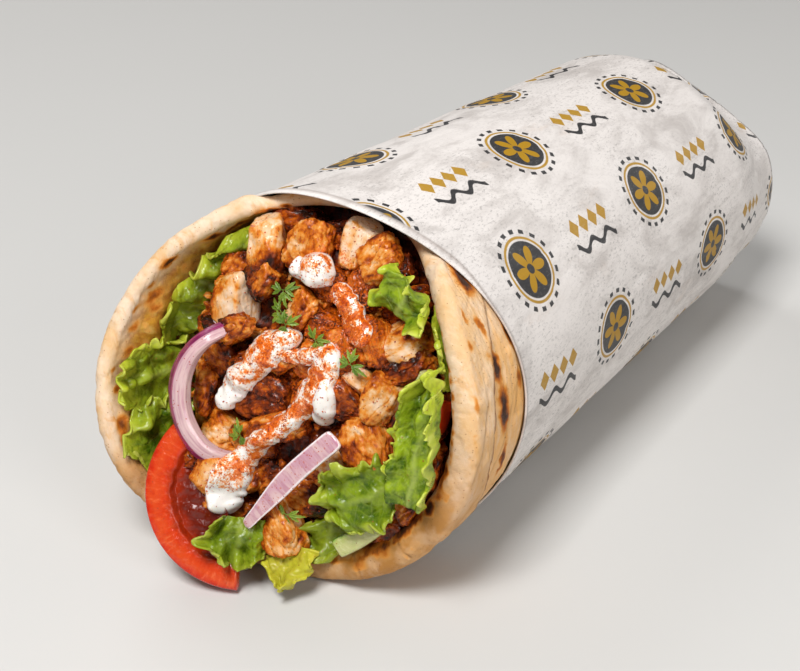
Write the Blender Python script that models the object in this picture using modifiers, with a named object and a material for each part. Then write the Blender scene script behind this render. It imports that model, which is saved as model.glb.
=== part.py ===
"""A chicken shawarma sandwich: flatbread rolled round its filling, in a folded paper sleeve.

The roll lies along X on a flat strip of its sleeve, with the open mouth at -X, the folded tail
at +X and Z up.  Sizes are in millimetres and become metres in put_vertices.

Two sets of coordinates are used:
- roll: s along the roll, phi round it (0 at the top, 90 at the -Y side) and a radius;
- mouth: u across the open end, v up it and w out of it, from the middle of the opening.
"""
import bmesh
import bpy
import numpy as np
from mathutils import Vector, noise

NAME = "shawarma_sandwich"
MM = 0.001
# the roll's middle, which becomes the origin, measured from the mouth's own origin
MIDDLE = (84.5, -0.2)

# the rolled bread
ROLL_RADIUS = 44.3          # outside the sleeve at the mouth
TAPER = 0.030               # radius lost for each millimetre towards the tail
TAIL_START = 156.0          # where the round section begins to turn square
TAIL_END = 190.0
TAIL_RADIUS = 34.8
TAIL_FLATS = ((27.0, 28.2), (-75.0, 32.0))   # direction and distance of the folded flats
TAIL_BULGE = 2.0
TAIL_SHARPNESS = 16.0       # the higher, the sharper the corners between its flats
REST_FLAT = 0.6             # how far the round underside is pressed flat
BREAD_WALL = 4.6
FOLD_WALL = (1.8, 140.0, 35.0)      # extra wall where the bread is folded over: height,
                                    # middle and width
BREAD_END = 184.0
STATIONS = (60.0, 95.0, 130.0, 160.0, 168.0, 176.0)     # where the skins have their rings
BREAD_BULGE = 1.0           # how far the bread swells in front of the sleeve
FLAP_STEP = (1.3, 95.0, 40.0)       # the free edge over the layer below: height, middle, width
FLARE = (2.7, -62.0, 34.0)  # how far the rim opens out on the far side: height, middle, width
FLARE_LENGTH = 14.0

# where the rim and the sleeve's edge lie along the roll: a middle place, and how far and
# towards which direction each slant or two-fold wave moves it
RIM_SLANT = (14.9, 23.8)
RIM_WAVE = (9.1, 175.6)
RIM_DIP = (6.0, 102.0, 36.0)        # height, middle and width of the near side's dip
EDGE_PLACE = 22.2
EDGE_SLANT = (1.2, 177.0)
EDGE_WAVE = (6.1, -87.9)
FLAP_PLACE = (13.7, 98.0)           # the free edge's foremost spot: s and direction
FLAP_CURVE = 0.0056                 # how fast it runs back on both sides of it

# the paper sleeve
PAPER = 0.7
PAPER_GAP = 0.65
HEM_WIDTH = 2.3
HEM_STEP = 0.35

# the opening: it leans back and turns a little to the -Y side
MOUTH_LEAN = 17.0
MOUTH_TURN = 8.0
MOUTH_HEIGHT = 44.0

# the filling
CORE_GAP = 0.7
CORE_END = 170.0
TRENCH_DEPTH = -18.0
ROUND = 40                  # steps round the roll
# each chunk of chicken: u, v, w, length, width, height, turn
CHUNKS = {
    "pale_top_left": (-12.5, 32.5, -6.0, 11.0, 8.0, 9.0, 100.0),
    "orange_top_left": (-11.4, 26.0, -5.0, 8.5, 7.5, 8.0, 60.0),
    "tan_top": (-2.6, 34.0, -8.0, 11.5, 9.5, 9.0, 80.0),
    "pale_top": (8.7, 36.2, -9.5, 10.5, 6.5, 8.0, 80.0),
    "tan_top_right": (14.4, 34.0, -7.5, 9.5, 8.0, 8.0, 50.0),
    "dark_top": (3.1, 37.0, -12.0, 8.0, 6.0, 7.0, 0.0),
    "dark_edge": (19.0, 31.5, -9.0, 7.0, 6.0, 7.0, 60.0),
    "pale_left": (-18.6, 19.4, -5.0, 11.5, 9.0, 9.0, 110.0),
    "tan_mid": (-1.2, 19.7, -5.0, 9.0, 7.5, 8.0, 60.0),
    "dark_mid": (5.5, 17.4, -6.0, 9.0, 7.0, 7.5, 10.0),
    "dark_behind": (12.0, 26.8, -7.0, 8.0, 7.0, 7.5, 100.0),
    "orange_mid": (18.0, 16.5, -3.5, 11.0, 7.5, 8.0, 100.0),
    "pale_right": (24.3, 18.0, -5.0, 11.0, 8.0, 8.0, 30.0),
    "red_right": (26.0, 13.0, -3.5, 11.0, 5.0, 6.0, 32.0),
    "block_right": (21.9, 5.5, -2.5, 10.0, 7.5, 9.5, 75.0),
    "pale_mid": (14.4, 8.8, -4.0, 11.0, 5.5, 6.5, -28.0),
    "brown_mid": (12.0, 2.8, -3.5, 10.0, 8.5, 8.5, -40.0),
    "tan_low_right": (19.6, -5.0, -3.0, 12.0, 9.5, 9.0, -60.0),
    "dark_low_right": (25.2, -0.6, -5.0, 8.0, 6.0, 7.0, 80.0),
    "orange_left": (-20.0, 11.5, -4.5, 9.0, 7.0, 7.5, 20.0),
    "brown_left_high": (-20.0, 5.2, -5.0, 9.0, 7.0, 7.0, -50.0),
    "brown_left": (-22.5, -2.1, -4.0, 11.0, 5.5, 7.0, 85.0),
    "brown_centre": (-9.3, -1.2, -5.5, 12.0, 9.0, 8.5, 15.0),
    "tan_low_left": (-18.6, -11.1, -5.0, 10.0, 7.5, 8.0, 160.0),
    "orange_strip": (-2.2, -6.2, -2.5, 13.0, 6.0, 7.0, 20.0),
    "dark_low": (-6.4, -19.0, -7.5, 9.5, 8.5, 8.0, 45.0),
    "tan_tomato": (-15.0, -19.5, -3.5, 8.0, 7.5, 8.0, 30.0),
    "brown_low": (4.0, -21.5, -7.5, 11.0, 7.5, 8.0, -20.0),
    "tan_low": (-1.2, -30.5, -7.0, 10.0, 9.0, 8.5, -50.0),
    "pink_low": (9.8, -12.2, -6.5, 10.0, 6.0, 7.0, 25.0),
    "edge_right": (30.0, 6.5, -7.5, 8.0, 6.0, 7.0, 80.0),
}
# each run of sauce: its radius, then the points u, v, w of its middle
SAUCE_RUNS = {
    "left": (3.6, ((13.0, 15.0, 0.5), (4.0, 13.0, 0.5), (-5.0, 9.0, 0.5), (-11.0, 4.0, 0.0),
                   (-15.0, -0.5, -0.5))),
    "down": (3.6, ((13.0, 15.0, 0.5), (12.0, 7.5, 1.0), (9.0, 0.5, 1.0), (2.5, -5.0, 1.0),
                   (-6.0, -9.5, 0.5), (-10.0, -17.5, -1.0), (-12.0, -25.0, -2.5))),
    "up": (2.9, ((12.5, 26.0, -3.0), (13.0, 21.0, -1.0), (14.5, 17.0, 0.5))),
    "blob": (4.3, ((0.5, 30.0, -4.5), (2.5, 26.5, -3.5), (3.5, 23.5, -4.0))),
    "bit": (2.1, ((-7.5, 29.0, -5.0), (-4.5, 28.6, -5.0), (-1.0, 29.5, -5.5))),
}
# the parsley sprigs' places
SPRIGS = ((-5.0, 18.0, -1.0), (-0.6, 16.0, -1.0), (-4.6, 24.0, -2.2), (16.8, 12.4, 0.3),
          (-11.5, -9.5, -1.2), (2.2, -26.5, -3.6))
SPRIG_RADIUS = 3.6

# each lettuce leaf: root, middle and tip of its midline, half of its width at the middle,
# cupping, height and number of the ruffles, narrowing, and whether the bread's wall holds it
LEAVES = {
    "left_high": ((-32, -1.5, -14), (-37, -1.5, -3), (-40, -2.5, 8), (0, 7.2, 0), 1.5, 1.3, 2.5, 0, True),
    "left_low": ((-31, -15, -12), (-35.5, -17, -4), (-38.5, -18.5, 7), (2.5, 7, 0), 1.5, 1.2, 2.5, 0, True),
    "upper_left": ((-27, 18, -13), (-30.5, 22, -11), (-33, 25, -7.5), (7.5, 10, -2.5), 2, 1.2, 3.0, 0, True),
    "top_right": ((21, 25.5, -1), (26.5, 29.5, 0.5), (32, 32.5, 2), (-4.3, 6.1, 0), -1, 1.1, 2, 0, True),
    "right": ((33.0, -14.5, 4), (35.0, 2, 6), (35.5, 16.5, 6), (6.5, 0, 1.5), -1.2, 1.2, 3.0, 0, True),
    "low_right": ((25, -14, 1), (18.5, -18.5, 2), (11, -21, 0.5), (3.4, -6.4, 0), -1, 1.2, 2, 0, True),
    "low_left": ((-8.5, -31, 1.5), (-8.3, -37, 4.5), (-8, -42, 4.5), (7.6, 0, -4.6), -1, 1, 2.5, 0, False),
    "hanging": ((5.3, -33.4, -2.9), (5.7, -38.8, -1.0), (6.0, -43.2, 1.3), (5, 0, 0), -1, 0.6, 1.5, 0.75, False),
    "low": ((11, -26, -7.5), (10.5, -31, -6.5), (9.5, -36.5, -6), (4.3, 0.5, 0), -1, 0.7, 1.5, 0, True),
    "right_back": ((33, 18, -10), (35.5, 18.5, -4), (37.5, 17.5, 2.5), (-2.5, 7, 0), 1, 0.8, 2, 0, True),
}
LEAF_THICKNESS = 0.7
LEAF_STEPS = (12, 4)

# the tomato slice, of which a straight cut leaves the part over the bread's edge
TOMATO_MIDDLE = (-9.4, -23.5, -1.5)
TOMATO_SLOPE = (-0.40, -0.16)
TOMATO_RADIUS = 22.3
TOMATO_THICKNESS = 4.4
TOMATO_ARC = (140.0, 273.0)
# the ring of red onion
ONION_MIDDLE = (-6.5, -0.5)
ONION_RADII = (15.6, 19.4)
ONION_DEPTH = 3.6
ONION_HEIGHT = 6.4
ONION_DROP = 2.6            # how much lower its two ends are
ONION_ARC = (122.0, 249.0)
# the cut strips: path, direction across it, width, thickness and material
STICKS = {
    "onion_strip": (((14.6, -3.5, 4.2), (4.5, -15.0, 3.8), (-6.0, -29.5, 2.8)),
                    (-0.78, 0.62, 0.0), 5.2, 1.6, "onion"),
    "cucumber_stick": (((15.5, -30.5, -3.2), (21.0, -26.0, -2.8), (26.0, -20.8, -2.4)),
                       (-0.68, 0.73, 0.0), 5.0, 3.6, "cucumber"),
    "cucumber_bit": (((31.0, 10.6, 0.5), (32.0, 12.6, 0.5), (32.6, 14.4, 0.5)),
                     (1.0, 0.0, 0.0), 3.4, 3.0, "cucumber"),
    "tomato_bit": (((34.0, 0.5, -3.0), (34.8, 4.0, -3.0), (35.0, 8.0, -3.0)),
                   (1.0, 0.0, 0.3), 3.2, 4.0, "tomato"),
}

# each material's name, colour and roughness
MATERIALS = {
    "bread": ("flatbread", (0.78, 0.58, 0.36), 0.75),
    "paper": ("greaseproof_paper", (0.76, 0.73, 0.70), 0.6),
    "chicken": ("grilled_chicken", (0.45, 0.20, 0.08), 0.5),
    "sauce": ("garlic_sauce", (0.86, 0.82, 0.75), 0.3),
    "herb": ("parsley", (0.08, 0.22, 0.03), 0.5),
    "lettuce": ("lettuce", (0.20, 0.45, 0.05), 0.4),
    "tomato": ("tomato", (0.65, 0.06, 0.02), 0.25),
    "onion": ("red_onion", (0.62, 0.40, 0.50), 0.3),
    "cucumber": ("cucumber", (0.50, 0.62, 0.30), 0.35),
}


def unit(vector):
    """The vector at length one."""
    return vector / np.linalg.norm(vector)


def mouth_axes():
    """The opening's origin and its u, v and w axes, in roll coordinates."""
    lean, turn = np.radians((MOUTH_LEAN, MOUTH_TURN))
    out = -np.array((np.cos(lean) * np.cos(turn), np.cos(lean) * np.sin(turn), -np.sin(lean)))
    across = unit(np.cross((0.0, 0.0, 1.0), out))
    return np.array((0.0, 0.0, MOUTH_HEIGHT)), np.stack((across, np.cross(out, across), out))


MOUTH_ORIGIN, MOUTH = mouth_axes()


def from_mouth(points):
    """Roll coordinates of points given as u, v, w."""
    return MOUTH_ORIGIN + np.asarray(points, float) @ MOUTH


def ease(x):
    """0 below 0, 1 above 1, and a smooth S between."""
    x = np.clip(x, 0.0, 1.0)
    return x * x * (3.0 - 2.0 * x)


def hump(phi, middle, width):
    """A smooth hump of height 1 round the direction middle, all in degrees."""
    away = (np.degrees(phi) - middle + 180.0) % 360.0 - 180.0
    return np.exp(-((away / width) ** 2))


def tail_section(phi):
    """Radius of the tail: a circle with its folded flats, blended with rounded corners."""
    total = (1.0 / TAIL_RADIUS) ** TAIL_SHARPNESS
    for direction, distance in TAIL_FLATS:
        facing = np.maximum(np.cos(phi - np.radians(direction)), 0.0)
        total = total + (facing / distance) ** TAIL_SHARPNESS
    return total ** (-1.0 / TAIL_SHARPNESS)


def sleeve_radius(s, phi):
    """Outer radius of the sleeve: a slow taper that turns into the folded tail."""
    plain = ROLL_RADIUS - TAPER * np.abs(s - 5.0)
    share = ease((s - TAIL_START) / (TAIL_END - TAIL_START))
    return plain + (tail_section(phi) - plain) * share


def axis_height(s):
    """Height of the roll's axis, so that the pressed underside stays level."""
    return sleeve_radius(s, np.pi) - REST_FLAT


def roll_point(s, phi, radius, floor):
    """Points at s and phi, kept at least floor above the ground."""
    s, phi, radius = np.broadcast_arrays(s, phi, radius)
    height = axis_height(s) + radius * np.cos(phi)
    return np.stack((s, -radius * np.sin(phi), np.maximum(height, floor)), -1)


def rim_s(phi):
    """Where the bread's rim lies along the roll: a slanted cut that dips on the near side."""
    slant = RIM_SLANT[0] * np.cos(phi - np.radians(RIM_SLANT[1]))
    wave = RIM_WAVE[0] * np.cos(2.0 * (phi - np.radians(RIM_WAVE[1])))
    return slant + wave + RIM_DIP[0] * hump(phi, *RIM_DIP[1:])


def sleeve_s(phi):
    """Where the sleeve's front edge lies along the roll."""
    slant = EDGE_SLANT[0] * np.cos(phi - np.radians(EDGE_SLANT[1]))
    return EDGE_PLACE + slant + EDGE_WAVE[0] * np.cos(2.0 * (phi - np.radians(EDGE_WAVE[1])))


def flap_s(phi):
    """Where the bread's free edge lies: a shallow arc that runs under the sleeve at both ends."""
    return FLAP_PLACE[0] + FLAP_CURVE * (np.degrees(phi) - FLAP_PLACE[1]) ** 2


def bread_wall(phi):
    """Thickness of the bread."""
    return BREAD_WALL + FOLD_WALL[0] * hump(phi, *FOLD_WALL[1:])


def flare(s, phi):
    """How far the bread's wall opens out behind its rim."""
    share = ease((rim_s(phi) + FLARE_LENGTH - s) / FLARE_LENGTH)
    return FLARE[0] * hump(phi, *FLARE[1:]) * share


def bread_radius(s, phi):
    """Outer radius of the bread, full in front of the sleeve and just inside it behind."""
    free = ease((sleeve_s(phi) - 2.5 - s) / 4.0)
    flap = FLAP_STEP[0] * hump(phi, *FLAP_STEP[1:]) * (s < flap_s(phi))
    slack = PAPER_GAP + 0.5 * ease((s - 130.0) / 30.0)
    return sleeve_radius(s, phi) - PAPER - slack + free * (BREAD_BULGE + flap + flare(s, phi))


def hollow_radius(s, phi):
    """Radius of the bread's inner side."""
    return sleeve_radius(s, phi) - PAPER - PAPER_GAP + flare(s, phi) - bread_wall(phi)


def round_steps(count=ROUND):
    """Directions round the roll, as [-180, 180) degrees in radians."""
    return np.radians(np.arange(count) * 360.0 / count - 180.0)


def put_vertices(mesh, points, faces):
    """Fill the mesh with points in millimetres, turned into metres from the origin."""
    moved = (np.asarray(points) - np.array((*MIDDLE, 0.0))) * MM
    mesh.from_pydata(moved.tolist(), [], faces)
    mesh.update()


def make_object(name, points, faces, material, collection):
    """A mesh object in the collection."""
    mesh = bpy.data.meshes.new(name)
    put_vertices(mesh, points, faces)
    mesh.materials.append(material)
    built = bpy.data.objects.new(name, mesh)
    collection.objects.link(built)
    return built


def loft(name, rings, start, end, material, collection):
    """A closed skin over rings of equally many points, drawn to a point at both ends."""
    rings = np.asarray(rings, float)
    rows, steps = rings.shape[:2]
    points = np.concatenate((rings.reshape(-1, 3), (start, end)))
    first, last = rows * steps, rows * steps + 1
    faces = [(first, (i + 1) % steps, i) for i in range(steps)]
    for row in range(rows - 1):
        for i in range(steps):
            j = (i + 1) % steps
            a, b, c, d = (row * steps + i, row * steps + j, (row + 1) * steps + j, (row + 1) * steps + i)
            faces += [(a, b, c), (a, c, d)]
    top = (rows - 1) * steps
    faces += [(last, top + i, top + (i + 1) % steps) for i in range(steps)]
    built = make_object(name, points, faces, material, collection)
    shape = bmesh.new()
    shape.from_mesh(built.data)
    bmesh.ops.recalc_face_normals(shape, faces=shape.faces)
    if shape.calc_volume(signed=True) < 0.0:
        bmesh.ops.reverse_faces(shape, faces=shape.faces)
    shape.to_mesh(built.data)
    shape.free()
    built.data.shade_smooth()
    return built


def tail_rings(phi, end, bulge, cover, floor):
    """Rings that close the tail of a skin lying cover inside the sleeve's outside."""
    rings = []
    for share in (0.75, 0.45):
        radius = (sleeve_radius(end, phi) - cover) * share
        rings.append(roll_point(end + bulge * (1.0 - share), phi, radius, floor))
    return rings[::-1]


def make_bread(material, collection):
    """The rolled flatbread: outer side, rounded rim and inner side in one closed skin."""
    phi = round_steps()
    wall = bread_wall(phi)
    half = wall / 2.0
    floor = PAPER + PAPER_GAP
    lip = rim_s(phi) + half
    edge = sleeve_s(phi)
    # rows from the lip to well under the sleeve, with one on either side of the free edge
    flap = np.clip(flap_s(phi), lip + 2.0, np.maximum(lip + 2.0, edge - 5.0))
    near = np.maximum(edge - 3.6, flap + 0.8)
    covered = np.maximum(edge - 1.5, near + 0.8)
    hidden = np.maximum(edge + 8.0, covered + 4.0)
    end_radius = sleeve_radius(STATIONS[-1], phi) - floor
    rings = [roll_point(BREAD_END, phi, end_radius * 0.45, floor),
             roll_point(BREAD_END - 2.0, phi, end_radius * 0.8, floor)]
    rings += [roll_point(s, phi, bread_radius(s, phi), floor) for s in STATIONS[::-1]]
    for s, low in ((hidden, floor), (covered, floor), (near, 0.5), (flap + 0.3, 0.5),
                   (flap - 0.3, 0.5), ((flap + lip) / 2.0, 0.5), (lip, 0.5)):
        rings.append(roll_point(s, phi, bread_radius(s, phi), low))
    outer = bread_radius(lip, phi)
    thick = (outer - hollow_radius(lip, phi)) / 2.0
    for turn in np.radians((50.0, 90.0, 130.0)):
        radius = outer - thick + thick * np.cos(turn)
        rings.append(roll_point(lip - half * np.sin(turn), phi, radius, 0.5))
    for depth in (0.0, 4.0, 8.0, 22.0):
        s = lip + depth
        rings.append(roll_point(s, phi, hollow_radius(s, phi), 0.5))
    rings += [roll_point(s, phi, hollow_radius(s, phi), 0.5) for s in STATIONS[:-1]]
    rings.append(roll_point(BREAD_END - 6.0, phi, end_radius * 0.55, 0.5))
    height = axis_height(BREAD_END)
    return loft("bread", rings, (BREAD_END + 0.5, 0.0, height), (BREAD_END - 5.5, 0.0, height),
                material, collection)


def make_sleeve(material, collection):
    """The paper sleeve: a thin shell with a folded hem at its front edge and a shut tail."""
    phi = round_steps()
    edge = sleeve_s(phi)
    rings = tail_rings(phi, TAIL_END, TAIL_BULGE, 0.0, 0.0)
    for s in (TAIL_END, 184.0) + STATIONS[::-1]:
        rings.append(roll_point(s, phi, sleeve_radius(s, phi), 0.0))
    for step, lift in ((HEM_WIDTH + 0.3, 0.0), (HEM_WIDTH, HEM_STEP), (0.0, HEM_STEP)):
        s = edge + step
        rings.append(roll_point(s, phi, sleeve_radius(s, phi) + lift, 0.0))
    for s in (edge, edge + HEM_WIDTH) + STATIONS + (184.0, TAIL_END - PAPER):
        rings.append(roll_point(s, phi, sleeve_radius(s, phi) - PAPER, PAPER))
    rings += tail_rings(phi, TAIL_END - PAPER, TAIL_BULGE, PAPER, PAPER)[::-1]
    height = axis_height(TAIL_END)
    tip = TAIL_END + TAIL_BULGE
    return loft("paper_sleeve", rings, (tip, 0.0, height), (tip - PAPER, 0.0, height),
                material, collection)


def wall_point(phi, w, gap):
    """Point of the bread's inner wall, less gap, at the depth w of the opening."""
    out = MOUTH[2]
    s = np.zeros_like(phi)
    for _ in range(4):
        radius = hollow_radius(s, phi) - gap
        rise = axis_height(s) + radius * np.cos(phi) - MOUTH_HEIGHT
        s = (w + radius * np.sin(phi) * out[1] - rise * out[2]) / out[0]
    return roll_point(s, phi, hollow_radius(s, phi) - gap, 0.0)


def make_core(material, collection):
    """The packed filling inside the bread, with a lower edge where the leaves stand."""
    phi = round_steps(32)
    step_radius = 29.0 - 5.0 * hump(phi, -60.0, 40.0) + 6.0 * hump(phi, 15.0, 35.0)
    height = axis_height(CORE_END)
    rings = [roll_point(CORE_END, phi, (hollow_radius(160.0, phi) - CORE_GAP) * 0.6, 0.0),
             roll_point(CORE_END - 4.0, phi, (hollow_radius(160.0, phi) - CORE_GAP) * 0.88, 0.0)]
    for s in (160.0, 130.0, 95.0, 60.0, 42.0):
        rings.append(roll_point(s, phi, hollow_radius(s, phi) - CORE_GAP, 0.0))
    rings.append(wall_point(phi, TRENCH_DEPTH, CORE_GAP))
    ring = np.stack((np.sin(phi), np.cos(phi), np.zeros_like(phi)), -1)
    for radius, w in ((step_radius + 1.0, -17.0), (step_radius, -10.0), (18.0, -7.0), (9.0, -6.5)):
        points = ring * np.reshape(radius, (-1, 1))
        points[:, 2] = w
        rings.append(from_mouth(points))
    return loft("filling", rings, (CORE_END + 1.0, 0.0, height), from_mouth((0.0, 0.0, -6.5)),
                material, collection)


def make_chunk(name, place, material, collection):
    """A chunk of chicken: a ball squared off, roughened and set into the heap."""
    u, v, w, length, width, height, turn = place
    shape = bmesh.new()
    bmesh.ops.create_icosphere(shape, subdivisions=2, radius=1.0)
    turn = np.radians(turn)
    along = np.array((np.cos(turn), np.sin(turn), 0.0))
    across = np.array((-np.sin(turn), np.cos(turn), 0.0))
    sizes = np.array((length, width, height)) / 2.0
    for vertex in shape.verts:
        ball = np.array(vertex.co)
        ball = np.sign(ball) * np.abs(ball) ** 0.72
        rough = 1.0 + 0.22 * noise.noise(Vector(ball * 1.3 + (u, v, w)))
        x, y, z = ball * sizes * rough
        here = from_mouth(np.array((u, v, w + z)) + along * x + across * y)
        vertex.co = (here - np.array((*MIDDLE, 0.0))) * MM
    mesh = bpy.data.meshes.new(name)
    shape.to_mesh(mesh)
    shape.free()
    mesh.materials.append(material)
    collection.objects.link(bpy.data.objects.new(name, mesh))


def smooth_path(points, count):
    """Points spread along a Catmull-Rom curve through the given points."""
    points = np.asarray(points, float)
    ends = np.concatenate(([2.0 * points[0] - points[1]], points, [2.0 * points[-1] - points[-2]]))
    t = np.linspace(0.0, len(points) - 1.0, count)
    i = np.minimum(t.astype(int), len(points) - 2)
    t = (t - i)[:, None]
    a, b, c, d = (ends[i + k] for k in range(4))
    return 0.5 * (2 * b + (c - a) * t + (2 * a - 5 * b + 4 * c - d) * t ** 2
                  + (3 * b - a - 3 * c + d) * t ** 3)


def make_sauce_run(name, radius, points, material, collection):
    """A thick run of sauce: a tube with round ends that lies on the chunks."""
    steps, sides = 2 * len(points) + 1, 6
    path = smooth_path(points, steps)
    along = np.gradient(path, axis=0)
    along /= np.linalg.norm(along, axis=1)[:, None]
    side = np.cross(along, (0.0, 0.0, 1.0))
    side /= np.linalg.norm(side, axis=1)[:, None]
    share = np.linspace(-1.0, 1.0, steps)
    thick = radius * np.clip(1.15 - share ** 6 * 0.75, 0.3, 1.0)
    turn = np.arange(sides) * 2.0 * np.pi / sides
    rings = (path[:, None] + (thick[:, None] * np.cos(turn))[..., None] * side[:, None]
             + (thick[:, None] * np.sin(turn) * 0.8)[..., None] * np.array((0.0, 0.0, 1.0)))
    start, end = path[0] - along[0] * radius * 0.5, path[-1] + along[-1] * radius * 0.5
    loft(name, from_mouth(rings), from_mouth(start), from_mouth(end), material, collection)


def make_sprig(name, place, material, collection):
    """A parsley sprig: a five-lobed star on a stem that stands in the heap."""
    turn = np.arange(10) * 2.0 * np.pi / 10.0
    radius = SPRIG_RADIUS * (0.68 + 0.32 * np.cos(5.0 * turn))
    ring = np.stack((radius * np.cos(turn), radius * np.sin(turn), np.zeros(10)), -1)
    place = np.array(place)
    loft(name, [from_mouth(place + ring)], from_mouth(place - (0.0, 0.0, 4.0)),
         from_mouth(place + (0.0, 0.0, 0.8)), material, collection)


def join_all(core, pieces):
    """One union of the core and the pieces, whose own objects are then removed."""
    union = core.modifiers.new("join", "BOOLEAN")
    union.operation = "UNION"
    union.operand_type = "COLLECTION"
    union.collection = pieces
    bpy.context.view_layer.update()
    graph = bpy.context.evaluated_depsgraph_get()
    mesh = bpy.data.meshes.new_from_object(core.evaluated_get(graph))
    core.modifiers.clear()
    core.data = mesh
    for piece in list(pieces.objects):
        bpy.data.objects.remove(piece)
    bpy.data.collections.remove(pieces)
    drop_scraps(mesh)


def drop_scraps(mesh):
    """Keep only the largest connected skin of the mesh, with all faces as triangles."""
    shape = bmesh.new()
    shape.from_mesh(mesh)
    bmesh.ops.triangulate(shape, faces=shape.faces)
    unseen = set(shape.verts)
    skins = []
    while unseen:
        skin, border = set(), [unseen.pop()]
        while border:
            vertex = border.pop()
            skin.add(vertex)
            near = {edge.other_vert(vertex) for edge in vertex.link_edges} & unseen
            unseen -= near
            border += near
        skins.append(skin)
    skins.sort(key=len)
    for skin in skins[:-1]:
        bmesh.ops.delete(shape, geom=list(skin), context="VERTS")
    shape.to_mesh(mesh)
    shape.free()


def make_filling(materials, collection):
    """The chicken heap: core, chunks, sauce and sprigs as one solid."""
    core = make_core(materials["chicken"], collection)
    pieces = bpy.data.collections.new("filling_pieces")
    bpy.context.scene.collection.children.link(pieces)
    for name, place in CHUNKS.items():
        make_chunk(name, place, materials["chicken"], pieces)
    for name, (radius, points) in SAUCE_RUNS.items():
        make_sauce_run("sauce_" + name, radius, points, materials["sauce"], pieces)
    for number, place in enumerate(SPRIGS):
        make_sprig(f"sprig_{number}", place, materials["herb"], pieces)
    join_all(core, pieces)


def press_to_wall(points, gap):
    """Move points that reach into the bread's wall back inside it, less gap."""
    s = points[..., 0]
    across, up = -points[..., 1], points[..., 2] - axis_height(points[..., 0])
    phi, radius = np.arctan2(across, up), np.hypot(across, up)
    limit = hollow_radius(np.maximum(s, rim_s(phi)), phi) - gap
    # past the rim the lip is round, and the leaf may lie over its inner half
    free = ease((rim_s(phi) + 0.5 - s) / 2.0) * bread_wall(phi) * 0.5
    return roll_point(s, phi, np.minimum(radius, limit + free), 0.0)


def make_leaf(name, leaf, material, collection):
    """A lettuce leaf: a wavy sheet that is frilled towards its tip and sides."""
    root, middle, tip, half, cup, ruffle, waves, taper, pressed = leaf
    columns, rows = LEAF_STEPS
    a = np.linspace(-1.0, 1.0, columns + 1)[None, :]
    b = np.linspace(0.0, 1.0, rows + 1)[:, None]
    root, middle, tip, half = (np.array(point, float) for point in (root, middle, tip, half))
    bend = 2.0 * middle - (root + tip) / 2.0
    line = ((1 - b) ** 2 * root + 2 * b * (1 - b) * bend + b ** 2 * tip)[:, None]
    facing = unit(np.cross(half, tip - root))
    facing = facing * np.sign(facing[2] or 1.0)
    spread = (0.72 + 0.5 * np.sin(np.pi * (0.12 + 0.68 * b))) * (1.0 - taper * b ** 1.5)
    edge = np.maximum(np.abs(a) ** 2, b ** 2)
    phase = sum(ord(letter) for letter in name)
    wave = np.sin(waves * np.pi * a + phase + 2.0 * b) * edge * ruffle
    drop = -0.22 * np.linalg.norm(tip - root) * np.abs(a) ** 2.5 * b
    points = (line + (a * spread)[..., None] * half + (wave - cup * a ** 2)[..., None] * facing
              + drop[..., None] * unit(tip - root))
    points = from_mouth(points)
    if pressed:
        points = press_to_wall(points, 1.0)
    faces = []
    for i in range(rows):
        for j in range(columns):
            k = i * (columns + 1) + j
            faces += [(k, k + 1, k + columns + 2), (k, k + columns + 2, k + columns + 1)]
    built = make_object("lettuce_" + name, points.reshape(-1, 3), faces, material, collection)
    thick = built.modifiers.new("thickness", "SOLIDIFY")
    thick.thickness = LEAF_THICKNESS * MM
    thick.offset = 0.0
    built.data.shade_smooth()


def slab(name, outline, facing, thickness, round_edge, material, collection):
    """A flat piece with a rounded edge from a convex outline of points u, v, w."""
    outline = np.asarray(outline, float)
    middle = outline.mean(axis=0)
    inset = middle + (outline - middle) * (1.0 - round_edge / np.linalg.norm(outline - middle,
                                                                            axis=1))[:, None]
    rings = [(inset, 0.5), (outline, 0.5 - round_edge / thickness),
             (outline, round_edge / thickness - 0.5), (inset, -0.5)]
    rings = [from_mouth(ring + facing * thickness * share) for ring, share in rings]
    loft(name, rings, from_mouth(middle + facing * thickness / 2.0),
         from_mouth(middle - facing * thickness / 2.0), material, collection)


def make_tomato(material, collection):
    """The cut tomato slice that lies over the bread's lower edge."""
    slope = np.array(TOMATO_SLOPE)
    facing = unit(np.array((-slope[0], -slope[1], 1.0)))
    first = unit(np.array((1.0, 0.0, slope[0])))
    second = np.cross(facing, first)
    turn = np.radians(np.linspace(*TOMATO_ARC, 22))[:, None]
    arc = np.array(TOMATO_MIDDLE) + TOMATO_RADIUS * (np.cos(turn) * first + np.sin(turn) * second)
    cut = np.linspace(arc[-1], arc[0], 8)[1:-1]
    slab("tomato_slice", np.concatenate((arc, cut)), facing, TOMATO_THICKNESS, 0.7,
         material, collection)


def make_onion_ring(material, collection):
    """The arc of red onion: a strip of a ring whose two ends dip into the heap."""
    turn = np.radians(np.linspace(*ONION_ARC, 22))
    share = np.linspace(-1.0, 1.0, 22)
    inner, outer = ONION_RADII
    middle, half, depth = (inner + outer) / 2.0, (outer - inner) / 2.0, ONION_DEPTH / 2.0
    section = ((1.0, 0.55), (0.7, 1.0), (-0.7, 1.0), (-1.0, 0.55), (-1.0, -0.55), (-0.7, -1.0),
               (0.7, -1.0), (1.0, -0.55))
    height = ONION_HEIGHT - ONION_DROP * share ** 2
    rings = []
    for t, w in zip(turn, height):
        rings.append([(ONION_MIDDLE[0] + (middle + half * x) * np.cos(t),
                       ONION_MIDDLE[1] + (middle + half * x) * np.sin(t), w + depth * y)
                      for x, y in section])
    rings = np.array(rings)
    loft("onion_ring", from_mouth(rings), from_mouth(rings[0].mean(axis=0)),
         from_mouth(rings[-1].mean(axis=0)), material, collection)


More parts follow.
